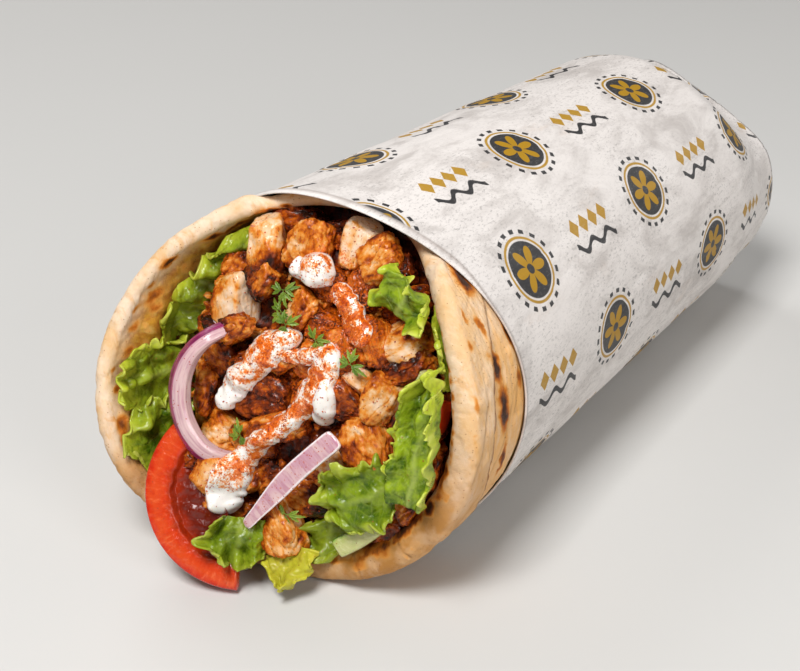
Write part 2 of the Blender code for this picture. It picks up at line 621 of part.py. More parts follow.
def make_stick(name, path, across, width, thickness, material, collection):
    """A cut strip with rounded edges along a path, its broad side across."""
    path = smooth_path(path, 6)
    across = unit(np.array(across, float))
    along = unit(path[-1] - path[0])
    facing = unit(np.cross(along, across))
    section = ((0.5, 0.25), (0.4, 0.5), (-0.4, 0.5), (-0.5, 0.25), (-0.5, -0.25), (-0.4, -0.5),
               (0.4, -0.5), (0.5, -0.25))
    rings = np.array([[place + across * x * width + facing * y * thickness for x, y in section]
                      for place in path])
    loft(name, from_mouth(rings), from_mouth(path[0]), from_mouth(path[-1]), material, collection)


def make_material(name, colour, roughness):
    """A plain Principled material."""
    material = bpy.data.materials.new(name)
    material.use_nodes = True
    shader = material.node_tree.nodes["Principled BSDF"]
    shader.inputs["Base Color"].default_value = (*colour, 1.0)
    shader.inputs["Roughness"].default_value = roughness
    shader.inputs["Metallic"].default_value = 0.0
    material.diffuse_color = (*colour, 1.0)
    return material


def clear_scene():
    """Remove whatever objects the scene holds."""
    for old in list(bpy.data.objects):
        bpy.data.objects.remove(old)


def main():
    clear_scene()
    collection = bpy.data.collections.new(NAME)
    bpy.context.scene.collection.children.link(collection)
    materials = {key: make_material(*look) for key, look in MATERIALS.items()}
    make_bread(materials["bread"], collection)
    make_sleeve(materials["paper"], collection)
    make_filling(materials, collection)
    for name, leaf in LEAVES.items():
        make_leaf(name, leaf, materials["lettuce"], collection)
    make_tomato(materials["tomato"], collection)
    make_onion_ring(materials["onion"], collection)
    for name, (path, across, width, thickness, material) in STICKS.items():
        make_stick(name, path, across, width, thickness, materials[material], collection)


main()
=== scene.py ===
"""The looks of a chicken shawarma: flatbread rolled round its filling, in a folded paper sleeve.

Sizes are in millimetres.  Three sets of coordinates are used:
- roll: s along the roll, phi round it (0 at the top, 90 at the -Y side) and a radius;
- mouth: u across the open end, v up it and w out of it, from the middle of the opening;
- frame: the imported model's own, in metres, which to_frame gives.
"""

import bpy
import numpy as np
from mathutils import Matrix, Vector


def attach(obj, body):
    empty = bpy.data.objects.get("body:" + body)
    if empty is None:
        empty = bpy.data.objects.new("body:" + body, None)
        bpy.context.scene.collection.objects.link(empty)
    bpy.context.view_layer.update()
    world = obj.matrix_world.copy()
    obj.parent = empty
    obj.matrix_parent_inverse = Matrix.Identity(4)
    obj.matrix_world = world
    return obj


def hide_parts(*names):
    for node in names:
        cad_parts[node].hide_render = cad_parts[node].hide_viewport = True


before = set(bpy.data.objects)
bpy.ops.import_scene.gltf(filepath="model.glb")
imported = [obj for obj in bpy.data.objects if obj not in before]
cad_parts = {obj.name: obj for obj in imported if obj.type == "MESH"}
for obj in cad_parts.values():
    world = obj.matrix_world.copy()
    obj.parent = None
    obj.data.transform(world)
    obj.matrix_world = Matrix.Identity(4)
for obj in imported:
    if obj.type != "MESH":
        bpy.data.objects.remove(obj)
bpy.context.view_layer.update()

MM = 0.001
MIDDLE = (84.5, -0.2)       # the frame's origin, measured from the mouth's

# the rolled bread and its sleeve, as in the solids
ROLL_RADIUS = 44.3
TAPER = 0.030
TAIL_START, TAIL_END, TAIL_RADIUS = 156.0, 190.0, 34.8
TAIL_FLATS = ((27.0, 28.2), (-75.0, 32.0))
TAIL_BULGE, TAIL_SHARPNESS = 2.0, 16.0
REST_FLAT = 0.6
BREAD_WALL = 4.6
FOLD_WALL = (1.8, 140.0, 35.0)
BREAD_END = 184.0
STATIONS = (60.0, 95.0, 130.0, 160.0, 168.0, 176.0)
BREAD_BULGE = 1.0
FLAP_STEP = (1.3, 95.0, 40.0)
FLARE, FLARE_LENGTH = (2.7, -62.0, 34.0), 14.0
RIM_SLANT, RIM_WAVE, RIM_DIP = (14.9, 23.8), (9.1, 175.6), (6.0, 102.0, 36.0)
RIM_BACK = ((2.6, 75.0, 48.0), (3.4, 24.0, 16.0))  # the rim is drawn back this little there
EDGE_PLACE, EDGE_SLANT, EDGE_WAVE = 22.2, (1.2, 177.0), (6.1, -87.9)
EDGE_BACK = (2.0, 50.0, 36.0)  # the sleeve's edge is drawn back this little on the near side
FLAP_PLACE, FLAP_CURVE = (13.7, 98.0), 0.0056
PAPER, PAPER_GAP = 0.7, 0.65
TAIL_PAPER = 3.4            # thickness of the folded layers on the tail's end
HEM_WIDTH = 2.3
# the hem's fold from back to front: share of its width and how far it stands out
HEM_FOLD = ((1.0, 0.16), (0.93, 0.22), (0.4, 0.2), (0.07, 0.12), (0.0, 0.0))
SHEET_EDGE = -128.0         # phi of the paper sheet's free edge
MOUTH_LEAN, MOUTH_TURN, MOUTH_HEIGHT = 17.0, 8.0, 44.0
CORE_GAP, CORE_END, CORE_FRONT, TRENCH_DEPTH = 0.7, 170.0, -6.5, -18.0

# char spots on the bread's outer side: s, phi, half length along s and round the roll, strength
OUTER_SPOTS = (
    (22.0, 45.5, 1.5, 2.8, 1.0), (22.0, 45.5, 3.0, 4.8, 0.30), (15.6, 54.5, 0.5, 2.0, 0.5),
    (18.7, 59.5, 0.7, 2.6, 0.6), (12.7, 62.0, 0.9, 1.3, 0.45), (28.0, 64.5, 1.3, 4.2, 1.0),
    (19.3, 72.0, 1.2, 2.4, 0.95), (19.3, 72.0, 2.4, 4.0, 0.30), (19.9, 85.5, 1.3, 4.2, 1.1),
    (19.9, 85.5, 2.4, 6.0, 0.30), (27.6, 80.0, 0.8, 2.6, 0.6), (14.2, 96.5, 0.8, 4.6, 0.8),
    (21.5, 104.0, 0.9, 5.0, 0.8), (8.2, 77.0, 0.6, 2.4, 0.35), (6.0, 58.0, 0.8, 1.2, 0.3),
    (9.0, -70.0, 3.0, 5.0, 0.8), (2.0, -95.0, 2.6, 3.4, 0.7), (14.0, -110.0, 3.4, 4.4, 0.9),
    (-2.0, -128.0, 2.2, 3.0, 0.6), (16.0, -40.0, 2.0, 3.4, 0.6), (8.0, -150.0, 2.6, 4.0, 0.7),
)
# char spots on its inner side: way inward from the lip's crest, phi, half sizes, strength
INNER_SPOTS = (
    (3.2, -55.0, 0.9, 0.9, 1.0), (3.4, -55.4, 2.4, 2.4, 0.36), (6.0, -45.0, 0.9, 1.0, 0.9),
    (6.2, -45.4, 2.4, 2.6, 0.26), (13.1, -62.0, 1.2, 0.9, 0.6), (4.2, -63.0, 0.9, 0.8, 0.35),
    (7.2, -66.5, 1.5, 1.4, 0.45), (7.2, -66.5, 3.0, 3.2, 0.18), (4.0, -70.0, 0.8, 0.8, 0.4),
    (6.4, -75.5, 1.3, 1.3, 0.45), (9.5, -71.0, 1.2, 1.2, 0.4), (10.5, -56.0, 1.8, 2.6, 0.28),
    (7.1, -39.0, 0.9, 3.2, 0.7), (2.4, -24.5, 1.2, 1.2, 0.9), (2.8, -25.0, 2.4, 2.6, 0.3),
    (4.2, -31.0, 1.8, 3.2, 0.4), (1.2, -19.5, 0.8, 0.9, 0.7), (5.6, -7.0, 1.4, 6.0, 0.5),
    (5.2, -93.5, 1.3, 1.2, 0.5), (6.6, -83.0, 1.4, 1.4, 0.4), (5.2, -105.0, 1.6, 2.2, 0.7),
    (4.6, -111.0, 1.2, 1.4, 0.6), (3.2, -87.0, 0.8, 0.8, 0.35), (2.0, 113.5, 0.9, 1.2, 1.0),
    (2.6, 127.5, 0.7, 3.4, 0.9), (4.4, 134.0, 1.3, 5.6, 0.8), (1.4, 139.0, 1.6, 2.4, 0.40),
    (3.6, 120.0, 1.1, 2.6, 0.6), (3.0, 100.0, 0.8, 2.6, 0.4), (3.0, 84.0, 0.7, 3.6, 0.35),
    (3.0, 66.0, 0.8, 3.0, 0.4), (3.2, 146.0, 1.2, 2.0, 0.6), (2.4, 162.0, 1.0, 1.4, 0.5),
    (0.8, 106.0, 1.2, 2.0, 0.30), (0.6, 151.0, 1.4, 2.6, 0.35),
)
# fine creases on the outer side: s, phi and s, phi of the two ends, and the depth
CREASES = (
    (14.0, 73.0, 4.6, 104.0, 0.30), (24.0, 84.0, 17.0, 108.0, 0.35), (29.0, 72.0, 24.0, 92.0, 0.30),
    (23.5, 47.0, 14.0, 57.0, 0.18), (-1.5, 131.5, 6.0, 133.0, 0.5), (-4.0, 150.0, 3.0, 156.0, 0.3),
)
LIP_ROWS = 22
LIP_ARC = 3.6               # from the lip's crest to where the inner wall starts
# the chicken chunks: u, v, w, length, width, height, turn, then how brown the chunk is,
# how much browner on one side, and the direction of that side
CHUNKS = {
    "pale_top_left": (-12.5, 32.5, -6.0, 11.0, 8.0, 9.0, 100.0, 0.09, 0.70, -60.0),
    "orange_top_left": (-11.4, 26.0, -5.0, 8.5, 7.5, 8.0, 60.0, 0.52, 0.35, -140.0),
    "tan_top": (-2.6, 34.0, -8.0, 11.5, 9.5, 9.0, 80.0, 0.32, 0.40, -60.0),
    "pale_top": (8.7, 36.2, -9.5, 10.5, 6.5, 8.0, 80.0, 0.04, 0.10, -90.0),
    "tan_top_right": (14.4, 34.0, -7.5, 9.5, 8.0, 8.0, 50.0, 0.32, 0.15, 0.0),
    "dark_top": (3.1, 37.0, -12.0, 8.0, 6.0, 7.0, 0.0, 0.68, 0.10, 0.0),
    "dark_edge": (19.0, 31.5, -9.0, 7.0, 6.0, 7.0, 60.0, 0.66, 0.20, 0.0),
    "pale_left": (-18.6, 19.4, -5.0, 11.5, 9.0, 9.0, 110.0, 0.05, 0.40, 180.0),
    "tan_mid": (-1.2, 19.7, -5.0, 9.0, 7.5, 8.0, 60.0, 0.32, 0.25, -50.0),
    "dark_mid": (5.5, 17.4, -6.0, 9.0, 7.0, 7.5, 10.0, 0.64, 0.10, 90.0),
    "dark_behind": (12.0, 26.8, -7.0, 8.0, 7.0, 7.5, 100.0, 0.68, 0.10, 0.0),
    "orange_mid": (18.0, 16.5, -3.5, 11.0, 7.5, 8.0, 100.0, 0.50, 0.15, -60.0),
    "pale_right": (24.3, 18.0, -5.0, 11.0, 8.0, 8.0, 30.0, 0.08, 0.35, 60.0),
    "red_right": (26.0, 13.0, -3.5, 11.0, 5.0, 6.0, 32.0, 0.58, 0.20, 180.0),
    "block_right": (21.9, 5.5, -2.5, 10.0, 7.5, 9.5, 75.0, 0.20, 0.25, 120.0),
    "pale_mid": (14.4, 8.8, -4.0, 11.0, 5.5, 6.5, -28.0, 0.08, 0.15, 0.0),
    "brown_mid": (12.0, 2.8, -3.5, 10.0, 8.5, 8.5, -40.0, 0.58, 0.25, 90.0),
    "tan_low_right": (19.6, -5.0, -3.0, 12.0, 9.5, 9.0, -60.0, 0.36, 0.20, -130.0),
    "dark_low_right": (25.2, -0.6, -5.0, 8.0, 6.0, 7.0, 80.0, 0.70, 0.15, 0.0),
    "orange_left": (-20.0, 11.5, -4.5, 9.0, 7.0, 7.5, 20.0, 0.54, 0.45, 150.0),
    "brown_left_high": (-20.0, 5.2, -5.0, 9.0, 7.0, 7.0, -50.0, 0.52, 0.20, 0.0),
    "brown_left": (-22.5, -2.1, -4.0, 11.0, 5.5, 7.0, 85.0, 0.50, 0.25, 0.0),
    "brown_centre": (-9.3, -1.2, -5.5, 12.0, 9.0, 8.5, 15.0, 0.65, 0.20, 90.0),
    "tan_low_left": (-18.6, -11.1, -5.0, 10.0, 7.5, 8.0, 160.0, 0.22, 0.20, 90.0),
    "orange_strip": (-2.2, -6.2, -2.5, 13.0, 6.0, 7.0, 20.0, 0.42, 0.20, -90.0),
    "dark_low": (-6.4, -19.0, -7.5, 9.5, 8.5, 8.0, 45.0, 0.56, 0.20, 90.0),
    "tan_tomato": (-15.0, -19.5, -3.5, 8.0, 7.5, 8.0, 30.0, 0.36, 0.35, 180.0),
    "brown_low": (4.0, -21.5, -7.5, 11.0, 7.5, 8.0, -20.0, 0.40, 0.45, 0.0),
    "tan_low": (-0.6, -29.6, -3.6, 13.0, 10.0, 9.0, -50.0, 0.26, 0.85, 170.0),
    "pink_low": (9.8, -12.2, -6.5, 10.0, 6.0, 7.0, 25.0, 0.14, 0.20, 180.0),
    "edge_right": (30.0, 6.5, -7.5, 8.0, 6.0, 7.0, 80.0, 0.60, 0.20, 0.0),
    "under_sauce_left": (-12.0, 6.0, -4.6, 9.0, 7.5, 8.0, 40.0, 0.56, 0.20, 180.0),
    "under_sauce_mid": (-4.5, 11.0, -4.6, 10.0, 8.5, 8.5, 15.0, 0.44, 0.20, 90.0),
    "under_sauce_top": (4.2, 9.5, -5.0, 9.5, 8.0, 8.0, -30.0, 0.50, 0.20, 0.0),
    "under_sauce_join": (10.8, 14.0, -4.2, 9.0, 8.0, 8.0, 80.0, 0.48, 0.20, 0.0),
    "under_sauce_down": (4.5, 1.0, -5.0, 9.0, 8.0, 8.0, 60.0, 0.50, 0.20, 200.0),
    "under_sauce_low": (-9.5, -11.5, -4.6, 9.0, 8.5, 8.0, 120.0, 0.44, 0.20, 0.0),
    "under_sauce_end": (-10.5, -20.0, -5.6, 9.0, 8.0, 8.0, 20.0, 0.34, 0.20, 90.0),
    "by_tomato_pale": (-19.6, -20.6, -3.2, 8.5, 6.5, 7.0, 70.0, 0.14, 0.35, 90.0),
    "by_tomato_dark": (-17.0, -27.4, -6.2, 9.0, 8.0, 8.0, 30.0, 0.56, 0.20, 0.0),
    "by_tomato_low": (-11.0, -30.5, -7.8, 8.5, 7.5, 8.0, 0.0, 0.50, 0.20, 0.0),
    "over_tomato": (-16.9, -19.3, 2.4, 8.5, 6.0, 6.0, 60.0, 0.12, 0.40, 150.0),
    "over_tomato_dark": (-20.2, -16.6, 1.6, 6.0, 5.0, 5.0, 20.0, 0.62, 0.20, 0.0),
    "over_tomato_low": (-17.0, -25.2, 0.0, 6.5, 5.0, 5.0, 120.0, 0.50, 0.30, 180.0),
    "crust_by_ring": (-14.4, 14.6, 0.8, 7.6, 5.2, 5.6, 30.0, 0.44, 0.30, 160.0),
    "edge_low_right": (29.5, -15.5, -5.5, 10.0, 7.0, 7.0, 60.0, 0.46, 0.25, 0.0),
    "edge_low": (23.5, -23.5, -8.0, 9.0, 7.0, 6.5, 30.0, 0.52, 0.20, 0.0),
    "edge_mid_right": (33.0, 3.0, -6.0, 9.0, 6.0, 7.0, 90.0, 0.42, 0.20, 0.0),
    "deep_top": (-8.0, 38.0, -12.0, 10.0, 7.0, 7.0, 10.0, 0.60, 0.20, 0.0),
    "deep_high_left": (-20.5, 26.0, -9.0, 9.0, 7.0, 7.0, 60.0, 0.50, 0.20, 0.0),
    "deep_blob": (3.5, 26.0, -8.0, 9.0, 8.0, 8.0, 0.0, 0.50, 0.20, 0.0),
    "deep_high_right": (22.0, 25.0, -9.5, 9.0, 8.0, 7.0, 30.0, 0.62, 0.15, 0.0),
    "deep_left": (-25.0, 10.0, -8.5, 9.0, 7.0, 7.0, 90.0, 0.55, 0.15, 0.0),
    "deep_centre": (-3.0, 4.5, -8.0, 9.0, 8.0, 7.0, 45.0, 0.70, 0.10, 0.0),
    "deep_mid_right": (20.0, 9.0, -8.5, 9.0, 7.0, 7.0, 30.0, 0.62, 0.15, 0.0),
    "deep_right": (28.0, -7.5, -9.0, 9.0, 7.5, 7.0, 70.0, 0.56, 0.15, 0.0),
    "deep_low_mid": (12.5, -7.0, -8.0, 9.0, 8.0, 7.0, 10.0, 0.50, 0.20, 0.0),
    "deep_low": (5.0, -14.5, -8.5, 9.0, 8.0, 7.0, 70.0, 0.44, 0.20, 0.0),
    "deep_low_right": (15.5, -17.5, -9.0, 9.0, 8.0, 7.0, 20.0, 0.48, 0.20, 0.0),
    "deep_low_left": (-17.5, -14.5, -8.5, 8.0, 7.0, 6.0, 20.0, 0.54, 0.20, 0.0),
    "deep_bottom": (-7.5, -28.0, -10.0, 9.0, 8.0, 7.0, 50.0, 0.60, 0.20, 0.0),
    "edge_by_leaf": (34.0, -7.5, -3.0, 9.5, 5.5, 7.0, 78.0, 0.44, 0.25, 0.0),
}
CHUNK_SCALE, BLOCK_SHARPNESS = 0.55, 17.0
HEAP_STEP, HEAP_REACH = 0.5, 42.0

# the sauce's lowest level, and how often the heap below it is evened out
SAUCE_FLOOR, SAUCE_SLUMP = -3.0, 36
# each run's depth, then u, v, half of the width and the paprika's density along it
SAUCE_RUNS = {
    "left": (2.5, ((1.1, 15.3, 1.7, 0.5), (-2.2, 14.0, 2.7, 0.8), (-5.5, 11.3, 3.4, 1.0),
                   (-8.7, 7.4, 3.1, 1.0), (-11.6, 4.0, 2.9, 0.7), (-14.4, 0.7, 3.1, 0.2),
                   (-16.0, -2.4, 2.8, 0.0), (-17.2, -5.4, 1.9, 0.0))),
    "arch": (1.7, ((10.4, 14.4, 1.6, 0.7), (5.8, 12.6, 1.9, 0.9), (1.0, 10.8, 1.9, 0.9),
                   (-3.1, 10.7, 2.0, 0.9))),
    "down": (2.3, ((10.3, 14.7, 2.2, 0.3), (8.8, 10.9, 3.3, 0.7), (6.9, 5.6, 3.5, 0.9),
                   (4.4, 1.0, 3.0, 1.0), (2.0, -2.5, 2.3, 1.0), (-1.6, -6.3, 2.2, 1.0),
                   (-5.8, -10.4, 2.3, 0.9), (-10.0, -15.3, 3.0, 1.0), (-11.5, -19.3, 3.4, 0.9),
                   (-13.0, -23.8, 3.3, 0.3), (-13.2, -27.2, 2.9, 0.05), (-13.6, -29.6, 2.0, 0.0))),
    "drip": (2.2, ((8.9, 9.4, 2.0, 0.5), (9.6, 4.9, 2.4, 0.2), (9.0, 0.4, 2.6, 0.0),
                   (7.2, -3.6, 2.0, 0.0))),
    "up": (1.4, ((6.8, 28.0, 1.8, 1.3), (8.9, 25.2, 2.9, 1.5), (11.8, 22.4, 3.1, 1.6),
                 (15.0, 19.6, 2.9, 1.6), (17.0, 16.2, 1.8, 1.4))),
    "blob": (4.4, ((3.8, 33.7, 2.3, 1.0), (2.9, 31.3, 3.6, 0.8), (2.0, 28.2, 4.4, 0.2),
                   (1.7, 26.2, 3.5, 0.0))),
    "bit": (2.2, ((-0.2, 30.3, 1.6, 0.2), (-2.4, 29.4, 2.3, 0.1), (-4.5, 28.6, 1.9, 0.1))),
}
SPRIGS = ((-5.1, 19.5), (-2.0, 17.6), (-5.0, 24.4), (14.6, 12.2), (-10.6, -9.6), (2.6, -25.2),
          (5.4, 15.6))
SPRIG_RADIUS = 3.6

# each lettuce leaf: root, middle and tip of its midline, half of its width at the middle; then
# cupping, height and number of the ruffles, narrowing, and whether the bread's wall holds it
LEAVES = {
    "left_high": (((-32, -1.5, -14), (-37, -1.5, -3), (-40, -2.5, 8), (0, 7.2, 0)),
                  (1.5, 2.0, 3.5, 0, True)),
    "left_low": (((-31, -15, -12), (-35.5, -17, -4), (-38.5, -18.5, 7), (2.5, 7, 0)),
                 (1.5, 1.8, 3.5, 0, True)),
    "upper_left": (((-24, 17, -10), (-27.6, 20, -6.5), (-30.3, 22.4, -3.0), (8.6, 11.6, -1.0)),
                   (2, 2.5, 4.0, 0, True)),
    "top_right": (((22, 24.5, -2), (25.2, 30.4, 1.0), (28, 36, 1.5), (-5.6, 2.6, 0.0)),
                  (-1, 1.7, 2.5, 0, True)),
    "right": (((33.0, -14.5, 4), (35.0, 2, 6), (35.5, 16.5, 6), (6.8, 0, 1.5)),
              (-1.8, 2.3, 3.4, 0.5, True)),
    "low_right": (((27, -12.4, 1), (19.4, -17.4, 2), (10.6, -20.2, 0.5), (3.0, -5.6, 0)),
                  (-1, 1.4, 2.5, 0, True)),
    "low_left": (((-7.4, -28.3, 1.0), (-7.6, -34.0, 3.6), (-7.0, -39.4, 3.4), (5.1, 0, -3.1)),
                 (-1, 2.0, 3.5, 0.1, False)),
    "hanging": (((2.9, -33.0, -2.9), (3.1, -38.6, -1.0), (4.0, -43.2, 1.3), (6.4, 0, 0)),
                (-1, 1.0, 2.0, 0.75, False)),
    "low": (((11, -26, -7.5), (10.5, -31, -6.5), (9.5, -36.5, -6), (4.3, 0.5, 0)),
            (-1, 0.7, 1.5, 0, True)),
    "right_back": (((33, 18, -10), (35.5, 18.5, -4), (37.5, 17.5, 2.5), (-2.5, 7, 0)),
                   (1, 1.8, 3.5, 0, True)),
}
LEAF_THICKNESS, BLADE_THICKNESS = 0.5, 0.18     # of lettuce and parsley
# how yellowed each leaf is, and how dark painted shade makes it
LEAF_TINTS_AND_SHADE = {"hanging": (0.9, 0.0), "low_left": (0.1, 0.40), "left_high": (0.15, 0.10),
              "low_right": (0.0, 0.35), "low": (0.2, 0.4), "upper_left": (0.2, 0.25),
              "left_low": (0.0, 0.25), "right_back": (0.1, 0.15), "right": (0.0, 0.0),
              "top_right": (0.0, 0.0)}
CHART_SIZE = 100.0                  # millimetres of paper to one unit of its chart
PRINT_ROUND = 272.0                 # millimetres of paper round the roll
PRINT_CELL = (30.0, PRINT_ROUND / 10)

TOMATO_MIDDLE, TOMATO_SLOPE = (-9.4, -23.5, -1.5), (-0.40, -0.16)
TOMATO_RADIUS, TOMATO_THICKNESS, TOMATO_ARC, TOMATO_BOW = 22.3, 4.4, (140.0, 273.0), 4.0
# its rounded rim: share of the way out, and height as a share of the thickness
TOMATO_RIM = ((0.975, 0.46), (0.988, 0.39), (0.997, 0.28), (1.0, 0.12), (1.0, -0.2), (0.985, -0.44))

ONION_MIDDLE, ONION_RADII, ONION_ARC = (-6.5, -0.5), (15.2, 18.6), (116.0, 254.0)
ONION_DEPTH, ONION_HEIGHT = 3.6, 6.4
ONION_DROP, ONION_DIVE, ONION_TILT = 1.6, 8.0, 0.9      # how far its ends dip and one side leans
ONION_NARROWING = 0.35      # at its upper end
# its section: share of the way outward, which may pass 1, and upward
ONION_SECTION = ((0.0, 0.08), (0.0, 0.92), (0.12, 1.0), (0.80, 1.0), (0.98, 0.93), (1.30, 0.74),
                 (1.55, 0.52), (1.62, 0.30), (1.45, 0.05), (0.15, 0.0))
# cut strips: the path, the way across, width, thickness, how wide the far end stays, and slot
STICKS = {
    "onion_strip": (((14.6, -3.5, 4.2), (4.5, -15.0, 3.8), (-6.0, -29.5, 2.8)),
                    (-0.78, 0.62, 0.0), 4.8, 1.3, 0.55, "onion"),
    "cucumber_stick": (((14.8, -30.8, -3.2), (19.6, -27.0, -2.9), (23.6, -23.0, -2.6)),
                       (-0.68, 0.73, 0.0), 4.6, 3.8, 1.0, "cucumber"),
    "cucumber_bit": (((31.0, 10.6, 0.5), (32.0, 12.6, 0.5), (32.6, 14.4, 0.5)),
                     (1.0, 0.0, 0.0), 3.4, 3.0, 1.0, "cucumber"),
    "tomato_bit": (((34.0, 0.5, -3.0), (34.8, 4.0, -3.0), (35.0, 8.0, -3.0)),
                   (1.0, 0.0, 0.3), 3.2, 4.0, 1.0, "tomato"),
}

# the camera, in roll millimetres and photograph pixels
PICTURE = (800, 671)
CAMERA_PLACE = (-234.68, -193.10, 224.76)
CAMERA_TARGET = (61.5, 0.0, 36.75)
TARGET_PIXEL = (441.1, 322.2)
LENS, SENSOR = 72.0, 36.0
# soft lights, in metres and watts: place, size and power
LIGHTS = {"key": ((-0.50, -0.10, 0.80), 0.3, 8.4), "fill": ((-0.35, -0.85, 0.45), 0.4, 2.8),
          "rim": ((0.3, 0.7, 0.7), 0.5, 3.0), "back": ((0.85, -0.35, 0.40), 0.5, 1.6)}
LIGHT_TARGET = (-0.03, 0.0, 0.04)
FLOOR_SIZE = 6.0


# ---------------------------------------------------------------- places and outlines

def unit(vectors):
    """The vectors at length one."""
    return vectors / np.maximum(np.linalg.norm(vectors, axis=-1, keepdims=True), 1e-9)


def stacked(*parts):
    """The parts spread to one shape, along the last axis of one array."""
    return np.stack(np.broadcast_arrays(*parts), -1)


def ease(x):
    """0 below 0, 1 above 1, and a smooth S between."""
    x = np.clip(x, 0.0, 1.0)
    return x * x * (3.0 - 2.0 * x)


def hump(phi, middle, width):
    """A smooth hump of height 1 round the direction middle, all in degrees."""
    away = (np.degrees(phi) - middle + 180.0) % 360.0 - 180.0
    return np.exp(-((away / width) ** 2))


def mouth_axes():
    """The opening's origin and its u, v and w axes, in roll coordinates."""
    lean, turn = np.radians((MOUTH_LEAN, MOUTH_TURN))
    out = -np.array((np.cos(lean) * np.cos(turn), np.cos(lean) * np.sin(turn), -np.sin(lean)))
    across = unit(np.cross((0.0, 0.0, 1.0), out))
    return np.array((0.0, 0.0, MOUTH_HEIGHT)), np.stack((across, np.cross(out, across), out))


MOUTH_ORIGIN, MOUTH = mouth_axes()


def from_mouth(points):
    """Roll coordinates of points given as u, v, w."""
    return MOUTH_ORIGIN + np.asarray(points, float) @ MOUTH


def to_frame(points):
    """Roll millimetres as metres in the frame."""
    return (np.asarray(points, float) - np.array((*MIDDLE, 0.0))) * MM


def tail_section(phi):
    """Radius of the tail: a circle with its folded flats, blended by a high power mean."""
    total = (1.0 / TAIL_RADIUS) ** TAIL_SHARPNESS
    for direction, distance in TAIL_FLATS:
        facing = np.maximum(np.cos(phi - np.radians(direction)), 0.0)
        total = total + (facing / distance) ** TAIL_SHARPNESS
    return total ** (-1.0 / TAIL_SHARPNESS)


def sleeve_radius(s, phi):
    """Outer radius of the sleeve: a slow taper that turns into the folded tail."""
    plain = ROLL_RADIUS - TAPER * np.abs(s - 5.0)
    share = ease((s - TAIL_START) / (TAIL_END - TAIL_START))
    return plain + (tail_section(phi) - plain) * share


def axis_height(s):
    """Height of the roll's axis, so that the pressed underside stays level."""
    return sleeve_radius(s, np.pi) - REST_FLAT


def roll_point(s, phi, radius, floor=0.0):
    """Points at s and phi, kept at least floor above the ground."""
    height = axis_height(s) + radius * np.cos(phi)
    return stacked(s, -radius * np.sin(phi), np.maximum(height, floor))


def rim_s(phi):
    """Where the bread's rim lies along the roll: a slanted cut that dips on the near side."""
    slant = RIM_SLANT[0] * np.cos(phi - np.radians(RIM_SLANT[1]))
    wave = RIM_WAVE[0] * np.cos(2.0 * (phi - np.radians(RIM_WAVE[1])))
    return slant + wave + sum(size * hump(phi, *place) for size, *place in (RIM_DIP, *RIM_BACK))


def sleeve_s(phi):
    """Where the sleeve's front edge lies along the roll."""
    slant = EDGE_SLANT[0] * np.cos(phi - np.radians(EDGE_SLANT[1]))
    wave = EDGE_WAVE[0] * np.cos(2.0 * (phi - np.radians(EDGE_WAVE[1])))
    return EDGE_PLACE + slant + wave + EDGE_BACK[0] * hump(phi, *EDGE_BACK[1:])


def flap_s(phi):
    """Where the bread's free edge lies: a shallow arc that runs under the sleeve at both ends."""
    return FLAP_PLACE[0] + FLAP_CURVE * (np.degrees(phi) - FLAP_PLACE[1]) ** 2


def bread_wall(phi):
    """Thickness of the bread."""
    return BREAD_WALL + FOLD_WALL[0] * hump(phi, *FOLD_WALL[1:])


def flare(s, phi):
    """How far the bread's wall opens out behind its rim."""
    share = ease((rim_s(phi) + FLARE_LENGTH - s) / FLARE_LENGTH)
    return FLARE[0] * hump(phi, *FLARE[1:]) * share


def bread_radius(s, phi):
    """Outer radius of the bread, full in front of the sleeve and just inside it behind."""
    free = ease((sleeve_s(phi) + 3.0 - s) / 5.0)
    flap = FLAP_STEP[0] * hump(phi, *FLAP_STEP[1:]) * ease((flap_s(phi) + 0.4 - s) / 0.8)
    slack = PAPER_GAP + 0.5 * ease((s - 130.0) / 30.0)
    return sleeve_radius(s, phi) - PAPER - slack + free * (BREAD_BULGE + flap + flare(s, phi))


def paper_thinning(step):
    """How much thinner the paper gets towards its front edge, by the distance behind it."""
    return np.interp(step, (0.0, 0.2, 2.0, 6.0), (0.45, 0.40, 0.35, 0.0))


def under_paper(s, phi):
    """The largest radius that the bread takes: just inside the paper, and opening out in front
    of it."""
    step = s - sleeve_s(phi)
    inside = sleeve_radius(s, phi) - PAPER + paper_thinning(step) - 0.10
    return inside + 1.3 * np.maximum(-step, 0.0)


def hollow_radius(s, phi):
    """Radius of the bread's inner side."""
    return sleeve_radius(s, phi) - PAPER - PAPER_GAP + flare(s, phi) - bread_wall(phi)


def wall_point(phi, w, gap):
    """Point of the bread's inner wall, less gap, at the depth w of the opening."""
    out = MOUTH[2]
    s = np.zeros_like(phi)
    for _ in range(4):
        radius = hollow_radius(s, phi) - gap
        rise = axis_height(s) + radius * np.cos(phi) - MOUTH_HEIGHT
        s = (w + radius * np.sin(phi) * out[1] - rise * out[2]) / out[0]
    return roll_point(s, phi, hollow_radius(s, phi) - gap)


def press_to_wall(points, gap):
    """Move points that reach into the bread's wall back inside it, less gap."""
    s = points[..., 0]
    across, up = -points[..., 1], points[..., 2] - axis_height(points[..., 0])
    phi, radius = np.arctan2(across, up), np.hypot(across, up)
    limit = hollow_radius(np.maximum(s, rim_s(phi)), phi) - gap
    free = ease((rim_s(phi) + 0.5 - s) / 2.0) * bread_wall(phi) * 0.5
    return roll_point(s, phi, np.minimum(radius, limit + free))


# ---------------------------------------------------------------- relief

